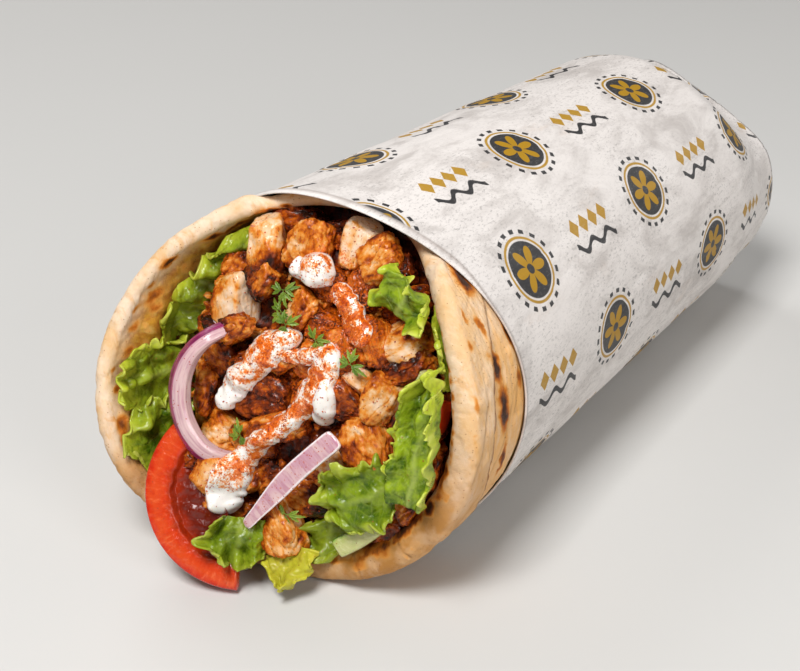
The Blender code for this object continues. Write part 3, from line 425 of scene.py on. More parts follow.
def hashed(cell, seed):
    """A fixed random number from 0 to 1 for each whole-number lattice point."""
    mixed = cell[..., 0] * 73856093 ^ cell[..., 1] * 19349663 ^ cell[..., 2] * 83492791 ^ seed * 2654435
    mixed = mixed & 0xFFFFFFFF
    mixed = ((mixed ^ mixed >> 13) * 1274126177) & 0xFFFFFFFF
    mixed = ((mixed ^ mixed >> 15) * 668265263) & 0xFFFFFFFF
    return ((mixed ^ mixed >> 16) & 0xFFFFFF) / float(0xFFFFFF)


def noise(points, size, seed=0):
    """Smooth noise of about -1 to 1 with lumps of the given size: slopes drawn at the corners
    of a lattice and eased together across each cell."""
    scaled = np.asarray(points, float) / size + 31.7
    cell = np.floor(scaled).astype(np.int64)
    inside = scaled - cell
    eased = inside ** 3 * (inside * (inside * 6.0 - 15.0) + 10.0)
    total = 0.0
    for corner in np.ndindex(2, 2, 2):
        here = cell + np.array(corner)
        away = inside - np.array(corner)
        slope = sum((hashed(here, seed * 3 + k) * 2.0 - 1.0) * away[..., k] for k in range(3))
        total = total + slope * np.prod(np.where(corner, eased, 1.0 - eased), axis=-1)
    return total * 1.7


def fractal(points, size, octaves=3, seed=0):
    """A sum of noises, each half as wide and half as high as the one before."""
    size = np.asarray(size, float)
    return sum(noise(points, size / 2 ** k, seed + k) / 2 ** k for k in range(octaves)) / 1.4


def crags(points, size, seed=0):
    """Crusty lumps: the distance to the nearest of the points jittered in a lattice, 0 to 1."""
    scaled = np.asarray(points, float) / size + 53.3
    cell = np.floor(scaled).astype(np.int64)
    nearest = np.full(scaled.shape[:-1], 9.0)
    for step in np.ndindex(3, 3, 3):
        here = cell + np.array(step) - 1
        spot = np.stack([hashed(here, seed * 3 + k) for k in range(3)], -1) + here
        nearest = np.minimum(nearest, ((scaled - spot) ** 2).sum(-1))
    return np.sqrt(nearest)


# ---------------------------------------------------------------- meshes

def grid_faces(rows, columns, wrap=True):
    """Quads over a grid of rows and columns, closed round the columns where wrap is true."""
    row = np.arange(rows - 1)[:, None]
    column = np.arange(columns if wrap else columns - 1)[None, :]
    beside = (column + 1) % columns
    quads = np.stack((row * columns + column, row * columns + beside,
                      (row + 1) * columns + beside, (row + 1) * columns + column), -1)
    return quads.reshape(-1, 4)


def fan(pole, ring, flip=False):
    """Triangles from a pole to each side of a closed ring."""
    beside = np.roll(ring, -1)
    first, second = (beside, ring) if flip else (ring, beside)
    return np.stack((np.full(len(ring), pole), first, second), -1)


def volume(points, faces):
    """Signed volume of a closed mesh, by the tetrahedra from the origin to each face."""
    total = 0.0
    for group in faces:
        for k in range(1, group.shape[1] - 1):
            a, b, c = points[group[:, 0]], points[group[:, k]], points[group[:, k + 1]]
            total += np.einsum("ij,ij->i", a, np.cross(b, c)).sum()
    return total


def build(name, points, faces, finish, facts=None, closed=True, chart=None):
    """A smooth mesh object from points in roll millimetres, groups of faces with equally many
    corners, and facts for the finish to read: a number or vector at each point, or one number
    for all.  A chart gives each point's place on the flat paper, which closes on itself at
    PRINT_ROUND."""
    points = np.asarray(points, float).reshape(-1, 3)
    faces = [np.asarray(group) for group in faces]
    if closed and volume(points, faces) < 0.0:
        faces = [group[:, ::-1] for group in faces]
    mesh = bpy.data.meshes.new(name)
    mesh.vertices.add(len(points))
    mesh.vertices.foreach_set("co", to_frame(points).astype(np.float32).ravel())
    corners = np.concatenate([group.ravel() for group in faces])
    sides = np.concatenate([np.full(len(group), group.shape[1]) for group in faces])
    mesh.loops.add(len(corners))
    mesh.loops.foreach_set("vertex_index", corners.astype(np.int32))
    mesh.polygons.add(len(sides))
    starts = np.cumsum(sides) - sides
    mesh.polygons.foreach_set("loop_start", starts.astype(np.int32))
    mesh.update(calc_edges=True)
    for fact, values in (facts or {}).items():
        values = np.asarray(values, np.float32)
        if values.ndim == 0:
            values = np.full(len(points), values)
        vector = values.size == 3 * len(points)
        made = mesh.attributes.new(fact, "FLOAT_VECTOR" if vector else "FLOAT", "POINT")
        made.data.foreach_set("vector" if vector else "value", values.ravel())
    if chart is not None:
        placed = []
        for group in faces:
            corner = np.asarray(chart)[group]
            behind = corner[..., 1].max(axis=1, keepdims=True) - corner[..., 1] > PRINT_ROUND / 2.0
            corner[..., 1] += PRINT_ROUND * behind
            placed.append(corner.reshape(-1, 2) / CHART_SIZE)
        flat = mesh.uv_layers.new(name="chart")
        flat.data.foreach_set("uv", np.concatenate(placed).astype(np.float32).ravel())
    mesh.materials.append(finish)
    mesh.shade_smooth()
    piece = bpy.data.objects.new(name, mesh)
    bpy.context.scene.collection.objects.link(piece)
    return piece


def keep(piece, slot, *nodes):
    """Let the piece ride on the food's one body and stand for its nodes; the slot is not used.  The
    sauce, the herb and the paprika have no slot of their own."""
    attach(piece, "root")
    if nodes:
        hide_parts(*nodes)
    return piece


def normals_of(grid):
    """Unit normals of a grid closed round its columns: the cross product of its steps along rows
    and columns."""
    return unit(np.cross(np.gradient(grid, axis=0), np.roll(grid, -1, 1) - np.roll(grid, 1, 1)))


def cube_skin(steps):
    """Points from -1 to 1 and quads of a cube's skin, with steps squares to a side."""
    axis = np.arange(steps + 1)
    a, b = (x.ravel() for x in np.meshgrid(axis, axis, indexing="ij"))
    sides, quads = [], []
    for k in range(3):
        for end in (0, steps):
            side = np.insert(np.stack((a, b), -1), k, end, axis=1)
            flip = (k == 1) != (end == 0)
            square = grid_faces(steps + 1, steps + 1, wrap=False)
            quads.append((square[:, ::-1] if flip else square) + len(sides) * len(side))
            sides.append(side)
    whole, same = np.unique(np.concatenate(sides), axis=0, return_inverse=True)
    return whole / steps * 2.0 - 1.0, same.reshape(-1)[np.concatenate(quads)]


def ball_skin(steps):
    """The cube's skin drawn to a ball, its squares evened out by a tangent."""
    cube, quads = cube_skin(steps)
    return unit(np.tan(cube * np.pi / 4.6)), quads


CHUNK_SKIN = ball_skin(33)


def repeated(quads, corners, count):
    """The quads of count equal parts that have so many corners each."""
    return (np.arange(count)[:, None, None] * corners + quads).reshape(-1, 4)


def thicken(piece, thickness):
    """Give a sheet its thickness, half to each side."""
    solid = piece.modifiers.new("thickness", "SOLIDIFY")
    solid.thickness, solid.offset = thickness * MM, 0.0


def smooth_path(points, count):
    """Points spread along a Catmull-Rom curve through the given points."""
    points = np.asarray(points, float)
    ends = np.concatenate(([2.0 * points[0] - points[1]], points, [2.0 * points[-1] - points[-2]]))
    t = np.linspace(0.0, len(points) - 1.0, count)
    i = np.minimum(t.astype(int), len(points) - 2)
    t = (t - i)[:, None]
    a, b, c, d = (ends[i + k] for k in range(4))
    return 0.5 * (2 * b + (c - a) * t + (2 * a - 5 * b + 4 * c - d) * t ** 2
                  + (3 * b - a - 3 * c + d) * t ** 3)


def loft(name, rings, finish, facts, ends=None, chart=None):
    """A closed skin over rings of equally many points, drawn to a point at both ends: those
    given, or else the middles of the first and last ring."""
    rows, columns = rings.shape[:2]
    if ends is None:
        ends = rings[[0, -1]].mean(axis=1)
    points = np.concatenate((rings.reshape(-1, 3), ends))
    first, last = rows * columns, rows * columns + 1
    ring = np.arange(columns)
    faces = [grid_faces(rows, columns), fan(first, ring, True),
             fan(last, ring + (rows - 1) * columns)]
    full = {}
    for fact, values in facts.items():
        sides = np.shape(values)[2:]
        flat = np.broadcast_to(values, (rows, columns, *sides)).reshape(-1, *sides)
        full[fact] = np.concatenate((flat, flat[:1], flat[-1:]))
    if chart is not None:
        chart = chart.reshape(-1, 2)
        chart = np.concatenate((chart, chart[:1], chart[-1:]))
    return build(name, points, faces, finish, full, chart=chart)


# ---------------------------------------------------------------- finishes

class Finish:
    """A material being made: each method adds a node and gives back its output."""

    def __init__(self, name, **shader):
        self.material = bpy.data.materials.new(name)
        self.material.use_nodes = True
        self.tree = self.material.node_tree
        self.shader = self.tree.nodes["Principled BSDF"]
        for socket, value in shader.items():
            self.put(self.shader.inputs[socket.replace("_", " ")], value)
        self.place = self.node("Mapping", {"Vector": self.node("TexCoord", {}, "Object"),
                                           "Scale": (1.0 / MM,) * 3})

    def put(self, socket, value):
        """Link a node's output to the socket, or set the socket's own value."""
        if isinstance(value, bpy.types.NodeSocket):
            self.tree.links.new(value, socket)
        elif socket.type == "RGBA" and len(value) == 3:
            socket.default_value = (*value, 1.0)
        else:
            socket.default_value = value

    def node(self, kind, values, output=0, **settings):
        """Any shader node with its settings and inputs."""
        made = self.tree.nodes.new("ShaderNode" + kind)
        for name, value in settings.items():
            setattr(made, name, value)
        for key, value in values.items():
            self.put(made.inputs[key], value)
        return made.outputs[output]

    def math(self, operation, a, b=0.0):
        """One sum on two numbers."""
        return self.node("Math", {0: a, 1: b}, operation=operation)

    def times(self, a, b):
        """Two numbers multiplied."""
        return self.math("MULTIPLY", a, b)

    def plus(self, a, b):
        """Two numbers added."""
        return self.math("ADD", a, b)

    def minus(self, a, b):
        """The first number less the second."""
        return self.math("SUBTRACT", a, b)

    def span(self, value, low, high, start=0.0, end=1.0):
        """The value from low to high, eased from start to end."""
        return self.node("MapRange", {"Value": value, "From Min": low, "From Max": high,
                                      "To Min": start, "To Max": end}, interpolation_type="SMOOTHSTEP")

    def fade(self, value, low, high, most=1.0):
        """0 where the value is at low, eased to most at high, which may be the lesser number."""
        return self.span(value, low, high, 0.0, most)

    def cover(self, colour, *layers):
        """Layers laid over the colour in turn, each given as its share and its own colour."""
        for share, over in layers:
            colour = self.node("Mix", {0: share, 6: colour, 7: over}, 2, data_type="RGBA")
        return colour

    def ramp(self, value, stops):
        """Colours along the value."""
        output = self.node("ValToRGB", {0: value})
        elements = output.node.color_ramp.elements
        while len(elements) < len(stops):
            elements.new(1.0)
        for element, (place, colour) in zip(elements, stops):
            element.position, element.color = place, (*colour, 1.0)
        return output

    def fact(self, name, output="Fac"):
        """A number or vector kept at the mesh's points."""
        return self.node("Attribute", {}, output, attribute_name=name)

    def share(self, name, most):
        """A number kept at the mesh's points, times most."""
        return self.times(self.fact(name), most)

    def stretch(self, place, scale, turn=(0.0, 0.0, 0.0)):
        """The place turned and stretched, for patterns longer one way."""
        return self.node("Mapping", {"Vector": place, "Scale": scale, "Rotation": turn})

    def noise(self, size, place=None, detail=3.0, roughness=0.55, distortion=0.0):
        """Cloudy noise with lumps of size millimetres, about 0.5 in the middle."""
        return self.node("TexNoise", {"Vector": place or self.place, "Scale": 1.0 / size,
                                      "Detail": detail, "Roughness": roughness,
                                      "Distortion": distortion})

    def cells(self, size, place=None, output="Distance", feature="F1"):
        """Cells of size millimetres: the distance to their middles, or a colour for each."""
        return self.node("TexVoronoi", {"Vector": place or self.place, "Scale": 1.0 / size},
                         output, feature=feature)

    def specks(self, size, share, most=1.0):
        """Round specks of about size millimetres, present in the given share of cells."""
        spot = self.fade(self.cells(size * 2.6), 0.26, 0.16)
        pick = self.node("SeparateColor", {0: self.cells(size * 2.6, output="Color")}, 0)
        return self.times(self.times(spot, self.math("LESS_THAN", pick, share)), most)

    def bump(self, height, depth):
        """Relief depth millimetres high where the height goes from 0 to 1."""
        return self.node("Bump", {"Height": height, "Distance": depth * MM, "Strength": 1.0})

    def done(self, colour, roughness=None, normal=None):
        """Link the last results to the shader."""
        for socket, value in (("Base Color", colour), ("Roughness", roughness), ("Normal", normal)):
            if value is not None:
                self.put(self.shader.inputs[socket], value)
        return self.material


def flatbread():
    """Baked flatbread: cream with tan clouds and faint streaks, browner underneath and behind the
    seam, golden inside, with dark specks, and char spots with orange halos.  The browning
    underneath is painted shade over a partly real browned underside; the darkening deep inside
    is painted shade, and the dark line along the seam and the creases is a painted shadow."""
    f = Finish("flatbread", Subsurface_Weight=0.08, Subsurface_Radius=(1.0, 0.6, 0.3),
               Subsurface_Scale=0.002, Specular_IOR_Level=0.2)
    mottle = f.noise(2.2, detail=4.0, roughness=0.65)
    streaks = f.noise(1.5, f.stretch(f.place, (1.0, 0.22, 0.22)), detail=5.0, roughness=0.62)
    # painted shade: browner towards the underside, over a partly real browned underside
    underside_shade = f.times(f.fact("under"), f.span(f.noise(6.0, detail=6.0), 0.36, 0.58, 0.60, 1.0))
    toasted = f.times(f.fact("band"), f.span(streaks, 0.34, 0.60, 0.55, 0.95))
    golden = f.cover((0.54, 0.25, 0.012), (f.fade(mottle, 0.35, 0.68), (0.35, 0.115, 0.003)),
                     (f.fade(f.noise(3.6, detail=4.0), 0.52, 0.70, 0.7), (0.60, 0.39, 0.085)))
    dough = f.cover((0.81, 0.63, 0.46),
                    (f.fade(f.noise(9.0, detail=4.0), 0.35, 0.7), (0.74, 0.48, 0.25)),
                    (f.fade(streaks, 0.50, 0.70, 0.65), (0.68, 0.36, 0.12)),
                    (f.fade(streaks, 0.40, 0.26, 0.5), (0.85, 0.70, 0.54)),
                    (f.fade(mottle, 0.50, 0.75, 0.4), (0.68, 0.40, 0.17)),
                    (underside_shade, (0.47, 0.215, 0.052)),
                    (toasted, (0.80, 0.43, 0.145)),
                    (f.share("inside", 0.95), golden),
                    # painted shade further inside the opening
                    (f.share("deep", 0.9), (0.36, 0.12, 0.008)))
    burn = f.plus(f.times(f.fact("char"), f.span(mottle, 0.2, 0.75, 0.7, 1.25)),
                  f.times(f.fade(f.noise(5.5, detail=5.0), 0.58, 0.76), 0.26))
    charred = f.ramp(burn, [(0.0, (0.78, 0.50, 0.22)), (0.22, (0.70, 0.30, 0.055)),
                            (0.45, (0.50, 0.14, 0.012)), (0.72, (0.17, 0.042, 0.008)),
                            (1.0, (0.05, 0.016, 0.006))])
    colour = f.cover(dough, (f.fade(burn, 0.04, 0.34), charred),
                     (f.specks(0.26, 0.20, 0.65), (0.30, 0.11, 0.03)),
                     # painted shadow along the flap's free edge and in the creases
                     (f.share("seam", 0.8), (0.28, 0.10, 0.02)))
    height = f.plus(f.times(f.noise(1.6, detail=5.0, roughness=0.6), 0.8), f.times(f.noise(0.35), 0.2))
    return f.done(colour, f.span(burn, 0.2, 0.8, 0.62, 0.5), f.bump(height, 0.38))


def chicken():
    """Grilled chicken: from pale meat over golden and orange to glossy dark crust, by how brown
    it is, dusted with paprika and flecked with herbs."""
    f = Finish("grilled_chicken", Subsurface_Weight=0.05, Subsurface_Radius=(1.0, 0.35, 0.2),
               Subsurface_Scale=0.0010, Coat_Weight=0.20, Coat_Roughness=0.06,
               Specular_IOR_Level=0.18)
    local, tone = f.fact("grain", "Vector"), f.fact("brown")
    fibres = f.noise(0.8, f.stretch(local, (0.3, 1.0, 1.0)), detail=4.0, roughness=0.6)
    crust = f.noise(1.5, local, detail=4.0, roughness=0.6)
    powder = f.noise(0.5, local, detail=5.0, roughness=0.7)
    flakes = f.noise(0.40, f.stretch(local, (0.45, 1.0, 1.4), (0.4, 0.9, 0.3)), detail=1.0)
    uneven = f.plus(f.span(crust, 0.3, 0.7, -0.13, 0.13), f.span(fibres, 0.3, 0.7, -0.07, 0.08))
    uneven = f.plus(uneven, f.span(f.noise(3.4, local), 0.32, 0.68, -0.15, 0.13))
    brown = f.plus(tone, f.times(uneven, f.span(tone, 0.05, 0.40, 0.35, 1.0)))
    meat = f.ramp(brown, [(0.0, (0.79, 0.60, 0.44)), (0.14, (0.75, 0.44, 0.21)),
                          (0.27, (0.69, 0.275, 0.048)), (0.41, (0.58, 0.155, 0.011)),
                          (0.55, (0.38, 0.073, 0.004)), (0.70, (0.19, 0.028, 0.003)),
                          (0.86, (0.085, 0.012, 0.003)), (1.0, (0.018, 0.004, 0.002))])
    burnt = f.times(f.fade(f.noise(1.9, local, detail=5.0, roughness=0.65), 0.58, 0.68),
                    f.fade(tone, 0.35, 0.7, 0.85))
    dusted = f.fade(f.plus(f.share("dust", 0.19), powder), 0.66, 0.76)
    colour = f.cover(meat, (burnt, (0.045, 0.010, 0.004)),
                     (f.times(dusted, 0.8), (0.64, 0.115, 0.004)),
                     (f.fade(flakes, 0.69, 0.73, 0.85), (0.20, 0.035, 0.005)))
    height = f.plus(f.plus(f.times(fibres, 0.25), f.times(crust, 0.6)), f.times(powder, 0.3))
    height = f.times(height, f.span(tone, 0.1, 0.4, 0.55, 1.0))
    rough = f.span(f.noise(1.6, local), 0.35, 0.65, 0.15, 0.38)
    return f.done(colour, rough, f.bump(height, 0.30))


def garlic_sauce():
    """White garlic sauce, stained from pale orange to red where paprika lies thick, and dotted
    with its grains."""
    f = Finish("garlic_sauce", Subsurface_Weight=0.15, Subsurface_Radius=(1.0, 0.75, 0.5),
               Subsurface_Scale=0.0012, Roughness=0.22, Coat_Weight=0.5, Coat_Roughness=0.12)
    density = f.fact("dust")
    grains = f.noise(0.42, detail=3.0, roughness=0.7)
    clumps = f.plus(f.noise(2.4, detail=6.0, roughness=0.68), f.times(density, 0.245))
    clumps = f.plus(clumps, f.span(grains, 0.3, 0.7, -0.05, 0.05))
    spots = f.fade(f.plus(f.times(density, 0.13), grains), 0.71, 0.77)
    flakes = f.noise(0.45, f.stretch(f.place, (0.45, 1.0, 1.4), (0.4, 0.9, 0.3)), detail=1.0)
    flakes = f.fade(f.plus(f.times(density, 0.05), flakes), 0.72, 0.76, 0.9)
    colour = f.cover((0.92, 0.885, 0.84), (f.fade(clumps, 0.61, 0.72, 0.85), (0.88, 0.40, 0.11)),
                     (f.fade(clumps, 0.69, 0.76), (0.78, 0.155, 0.007)),
                     (f.fade(clumps, 0.80, 0.90, 0.85), (0.46, 0.052, 0.004)),
                     (f.times(spots, 0.9), (0.62, 0.10, 0.004)),
                     (flakes, (0.26, 0.030, 0.003)))
    height = f.plus(f.times(spots, 0.6), f.times(clumps, 0.5))
    return f.done(colour, None, f.bump(height, 0.14))


def lettuce_green():
    """Lettuce: deep green blades with a net of fine pale veins, a pale rib and a yellow-green
    frill that is partly painted light shining through the rim; some leaves are darkened all over
    by painted shade."""
    f = Finish("lettuce_green", Roughness=0.26, Subsurface_Weight=0.10,
               Subsurface_Radius=(0.5, 1.0, 0.15), Subsurface_Scale=0.001, Coat_Weight=0.15,
               Coat_Roughness=0.08, Specular_IOR_Level=0.24)
    edge, rib = f.fact("edge"), f.fact("rib")
    swirl = f.node("TexNoise", {"Vector": f.place, "Scale": 0.7}, 1)
    warped = f.node("Mix", {0: 0.06, 4: f.place, 5: swirl}, 1, data_type="VECTOR")
    pillow = f.cells(2.3, warped, feature="DISTANCE_TO_EDGE")
    fine_net = f.fade(f.cells(0.9, warped, feature="DISTANCE_TO_EDGE"), 0.10, 0.0)
    colour = f.cover((0.040, 0.095, 0.001), (f.fade(f.noise(4.0), 0.36, 0.64), (0.26, 0.36, 0.008)),
                     (f.fade(f.noise(1.7, detail=4.0), 0.35, 0.7, 0.35), (0.34, 0.44, 0.030)),
                     (f.times(f.fade(pillow, 0.09, 0.0), 0.12), (0.42, 0.52, 0.06)),
                     (f.times(fine_net, 0.10), (0.40, 0.50, 0.05)),
                     # paler yellow-green rim: partly the leaf's own, partly painted light shining
                     # through the thin edge
                     (f.fade(edge, 0.70, 1.02, 0.8), (0.52, 0.58, 0.035)),
                     (f.fade(edge, 0.92, 1.06, 0.6), (0.66, 0.70, 0.14)),
                     (f.times(rib, 0.7), (0.52, 0.60, 0.16)),
                     (f.share("yellow", 0.75), (0.55, 0.46, 0.035)),
                     # painted shade darkening whole leaves
                     (f.fact("dark"), (0.040, 0.085, 0.002)),
                     (f.specks(0.35, 0.06, 0.8), (0.28, 0.10, 0.02)))
    height = f.plus(f.noise(1.8), f.times(f.fade(pillow, 0.0, 0.30), 0.35))
    return f.done(colour, None, f.bump(f.plus(height, f.times(rib, 0.5)), 0.28))


def tomato_red():
    """Tomato cut across: a thin skin, a firm wall streaked towards its middle, and a dark wet
    hollow with pale seeds, its darkness partly the jelly's own and partly painted shade."""
    f = Finish("tomato_red", Roughness=0.18, Subsurface_Weight=0.10,
               Subsurface_Radius=(1.0, 0.3, 0.15), Subsurface_Scale=0.0015, Coat_Weight=0.35,
               Coat_Roughness=0.06, Specular_IOR_Level=0.25)
    ring = f.fact("ring")
    wobble = f.plus(ring, f.span(f.noise(3.0), 0.3, 0.7, -0.035, 0.035))
    # the hollow's dark red is partly wet jelly and partly painted shade
    flesh = f.ramp(wobble, [(0.0, (0.09, 0.006, 0.002)), (0.60, (0.15, 0.010, 0.002)),
                            (0.73, (0.36, 0.024, 0.003)), (0.80, (0.60, 0.040, 0.006)),
                            (0.90, (0.64, 0.066, 0.012)), (0.96, (0.60, 0.036, 0.006)),
                            (1.0, (0.50, 0.016, 0.003))])
    spokes = f.stretch(f.fact("around", "Vector"), (1.0, 0.35, 1.0))
    streaks = f.noise(1.1, spokes, detail=4.0, roughness=0.65)
    firm = f.fade(ring, 0.72, 0.82)
    seeds = f.times(f.specks(1.1, 0.30), f.fade(ring, 0.74, 0.68))
    colour = f.cover(flesh, (f.times(f.fade(streaks, 0.50, 0.76, 0.5), firm), (0.80, 0.19, 0.06)),
                     (f.times(f.fade(streaks, 0.46, 0.28, 0.4), firm), (0.52, 0.030, 0.004)),
                     (f.times(seeds, 0.8), (0.74, 0.42, 0.10)),
                     (f.specks(0.3, 0.06, 0.6), (0.35, 0.06, 0.02)))
    height = f.plus(f.noise(0.9, detail=4.0), f.times(seeds, 0.8))
    return f.done(colour, None, f.bump(height, 0.24))


def red_onion():
    """Red onion: white-pink flesh with fine lines along the ring or across the strip, and a
    purple outer skin."""
    f = Finish("red_onion", Roughness=0.2, Subsurface_Weight=0.2,
               Subsurface_Radius=(1.0, 0.7, 0.8), Subsurface_Scale=0.0015, Coat_Weight=0.35,
               Coat_Roughness=0.1)
    along, cross = f.fact("along", "Vector"), f.fact("cross")
    rungs = f.noise(0.7, f.stretch(along, (1.0, 0.10, 1.0), (0.0, 0.0, 0.3)), roughness=0.6)
    lines = f.node("Mix", {0: cross, 2: f.noise(0.6, f.stretch(along, (0.12, 1.0, 1.0))), 3: rungs},
                   0, data_type="FLOAT")
    skin = f.cover((0.18, 0.010, 0.070), (f.fade(lines, 0.4, 0.6), (0.35, 0.045, 0.15)))
    powder = f.fade(f.noise(0.8, detail=5.0, roughness=0.75), 0.57, 0.66)
    colour = f.cover((0.68, 0.48, 0.47), (f.fade(lines, 0.35, 0.72), (0.54, 0.30, 0.34)),
                     (f.times(f.times(cross, f.fade(lines, 0.40, 0.66)), 0.4), (0.42, 0.15, 0.22)),
                     (f.share("blush", 0.8), (0.50, 0.20, 0.32)),
                     (f.fact("rim"), (0.86, 0.76, 0.77)),
                     (f.fact("skin"), skin),
                     (f.times(powder, f.times(cross, 0.7)), (0.52, 0.10, 0.02)),
                     (f.specks(0.30, 0.34, 0.8), (0.42, 0.05, 0.008)))
    return f.done(colour, None, f.bump(lines, 0.10))


def cucumber_green():
    """Cucumber: watery pale flesh that turns green towards its rind."""
    f = Finish("cucumber_green", Roughness=0.25, Subsurface_Weight=0.3,
               Subsurface_Radius=(0.6, 1.0, 0.4), Subsurface_Scale=0.002, Coat_Weight=0.35,
               Coat_Roughness=0.1)
    rind = f.plus(f.fact("rind"), f.span(f.noise(1.6), 0.3, 0.7, -0.15, 0.15))
    flesh = f.ramp(rind, [(0.0, (0.50, 0.50, 0.20)), (0.6, (0.42, 0.46, 0.13)),
                          (0.85, (0.25, 0.38, 0.07)), (1.0, (0.08, 0.18, 0.02))])
    watery = f.noise(0.8, f.stretch(f.place, (1.0, 0.4, 1.0)), detail=4.0, roughness=0.65)
    colour = f.cover(flesh, (f.fade(watery, 0.50, 0.72, 0.6), (0.62, 0.64, 0.34)),
                     (f.fade(watery, 0.42, 0.26, 0.6), (0.24, 0.30, 0.06)),
                     (f.specks(0.3, 0.12, 0.7), (0.30, 0.10, 0.02)))
    return f.done(colour, None, f.bump(f.plus(f.noise(1.0), watery), 0.15))


def parsley_green():
    """Parsley: mid-green, lighter along the tips and teeth."""
    f = Finish("parsley_green", Roughness=0.4, Subsurface_Weight=0.1,
               Subsurface_Radius=(0.4, 1.0, 0.1), Subsurface_Scale=0.0008)
    colour = f.cover((0.055, 0.125, 0.004), (f.fact("edge"), (0.24, 0.33, 0.030)))
    return f.done(colour, None, f.bump(f.noise(0.6), 0.2))


def paprika():
    """Paprika: orange-red to brown grains."""
    f = Finish("paprika", Roughness=0.65)
    return f.done(f.ramp(f.noise(1.2), [(0.3, (0.70, 0.13, 0.008)), (0.55, (0.50, 0.06, 0.005)),
                                        (0.7, (0.16, 0.024, 0.004))]))


def within(f, value, limit):
    """1 where the value is below the limit, with a thin soft border."""
    return f.fade(f.minus(value, limit), 0.12, -0.12)


def stripe(f, value, middle, half):
    """1 within half of the middle."""
    return within(f, f.math("ABSOLUTE", f.minus(value, middle)), half)


def printed_inks(f):
    """How much charcoal and gold the paper carries, on a chequered layout: a roundel with six
    petals, and a wave over a row of lozenges."""
    chart = f.node("SeparateXYZ", {0: f.node("UVMap", {}, "UV", uv_map="chart")}).node
    along, around = (f.times(chart.outputs[axis], CHART_SIZE) for axis in (0, 1))
    cell = f.plus(*(f.math("FLOOR", f.math("DIVIDE", place, size))
                    for place, size in zip((along, around), PRINT_CELL)))
    second = f.math("FLOORED_MODULO", cell, 2.0)
    first = f.minus(1.0, second)
    x, y = (f.minus(f.math("FLOORED_MODULO", place, size), size / 2.0)
            for place, size in zip((along, around), PRINT_CELL))
    reach = f.math("SQRT", f.plus(f.times(x, x), f.times(y, y)))
    turn = f.math("ARCTAN2", y, x)
    petals = f.math("ABSOLUTE", f.math("COSINE", f.times(turn, 3.0)))
    petals = within(f, reach, f.plus(f.times(petals, 4.3), 1.5))
    petals = f.times(petals, f.minus(1.0, within(f, reach, 1.25)))
    dashes = f.math("GREATER_THAN", f.math("COSINE", f.times(turn, 18.0)), 0.1)
    disc = f.math("MAXIMUM", within(f, reach, 7.0), f.times(stripe(f, reach, 9.6, 0.55), dashes))
    flower = f.math("MAXIMUM", petals, stripe(f, reach, 7.9, 0.35))
    crest = f.minus(y, f.times(f.math("SINE", f.times(x, 0.85)), 1.1))
    sideways = f.math("ABSOLUTE", x)
    wave = f.times(stripe(f, crest, 3.4, 0.75), within(f, sideways, 9.2))
    step = f.math("ABSOLUTE", f.minus(f.math("FLOORED_MODULO", x, 4.6), 2.3))
    lozenges = f.plus(f.math("ABSOLUTE", f.plus(y, 2.0)), f.times(step, 1.2))
    lozenges = f.times(within(f, lozenges, 2.5), within(f, sideways, 9.1))
    return (f.plus(f.times(disc, first), f.times(wave, second)),
            f.plus(f.times(flower, first), f.times(lozenges, second)))


def sleeve_paper():
    """Greaseproof paper: warm grey-white with smudged fibres and grease, its print, and painted
    shadow along the hem, the sheet's free edge and the edges of the tail's layers.
    """
    f = Finish("sleeve_paper", Specular_IOR_Level=0.35)
    fine = f.noise(0.6, f.stretch(f.place, (0.5, 1.0, 1.0)), detail=5.0, roughness=0.78)
    mottle = f.noise(9.0, f.stretch(f.place, (0.45, 1.0, 1.0)), detail=9.0, roughness=0.68,
                     distortion=0.6)
    grease = f.noise(16.0, f.stretch(f.place, (0.4, 1.0, 1.0)), detail=6.0, roughness=0.6)
    grain = f.times(f.fade(fine, 0.50, 0.68, 0.8), f.span(f.noise(30.0), 0.40, 0.58, 0.3, 1.0))
    charcoal, gold = printed_inks(f)
    shown = f.times(f.fact("print"), f.span(fine, 0.25, 0.5, 0.82, 0.97))
    colour = f.cover((0.765, 0.715, 0.68), (f.fade(mottle, 0.42, 0.70), (0.53, 0.485, 0.455)),
                     (grain, (0.36, 0.33, 0.31)),
                     (f.times(f.fade(grease, 0.60, 0.72), 0.35), (0.58, 0.44, 0.34)),
                     (f.times(charcoal, shown), (0.016, 0.016, 0.018)),
                     (f.times(gold, shown), (0.42, 0.225, 0.006)),
                     # painted shadow along the hem, the sheet's free edge and the tail's layer edges
                     (f.share("fold", 0.6), (0.30, 0.22, 0.18)))
    height = f.plus(f.times(mottle, 0.7), f.times(fine, 0.3))
    return f.done(colour, f.span(mottle, 0.3, 0.7, 0.45, 0.6), f.bump(height, 0.14))


# ---------------------------------------------------------------- bread and sleeve

def spots_at(spots, s, phi, radius):
    """Sum of soft oval spots, with ragged borders."""
    total = 0.0
    for place, middle, along, across, strength in spots:
        away = (np.degrees(phi) - middle + 180.0) % 360.0 - 180.0
        round_the_roll = np.radians(away) * radius / across
        total = total + strength * np.exp(-((s - place) / along) ** 2 - round_the_roll ** 2)
    return total


def lip_bevel(depth, phi):
    """How far the upper left of the inner wall slopes open within its first millimetres."""
    return 1.7 * hump(phi, -62.0, 48.0) * (1.0 - ease(depth / 11.0))


def crease_at(s, phi, s_1, phi_1, s_2, phi_2):
    """1 along the line between two places on the roll, fading to the sides and past its ends."""
    share = (np.degrees(phi) - phi_1) / (phi_2 - phi_1)
    away = (s - s_1 - (s_2 - s_1) * share) / 0.4
    return np.exp(-away ** 2) * ease(share / 0.15) * ease((1.0 - share) / 0.15)


def directions(columns):
    """Directions phi all round the roll, as one row."""
    return np.linspace(-np.pi, np.pi, columns, endpoint=False)[None, :]


def rows_of(profile, phi):
    """Arrays of s and of radius from a profile, which is a list of such pairs."""
    return [np.concatenate([np.broadcast_to(part, phi.shape) for part in parts])
            for parts in zip(*profile)]


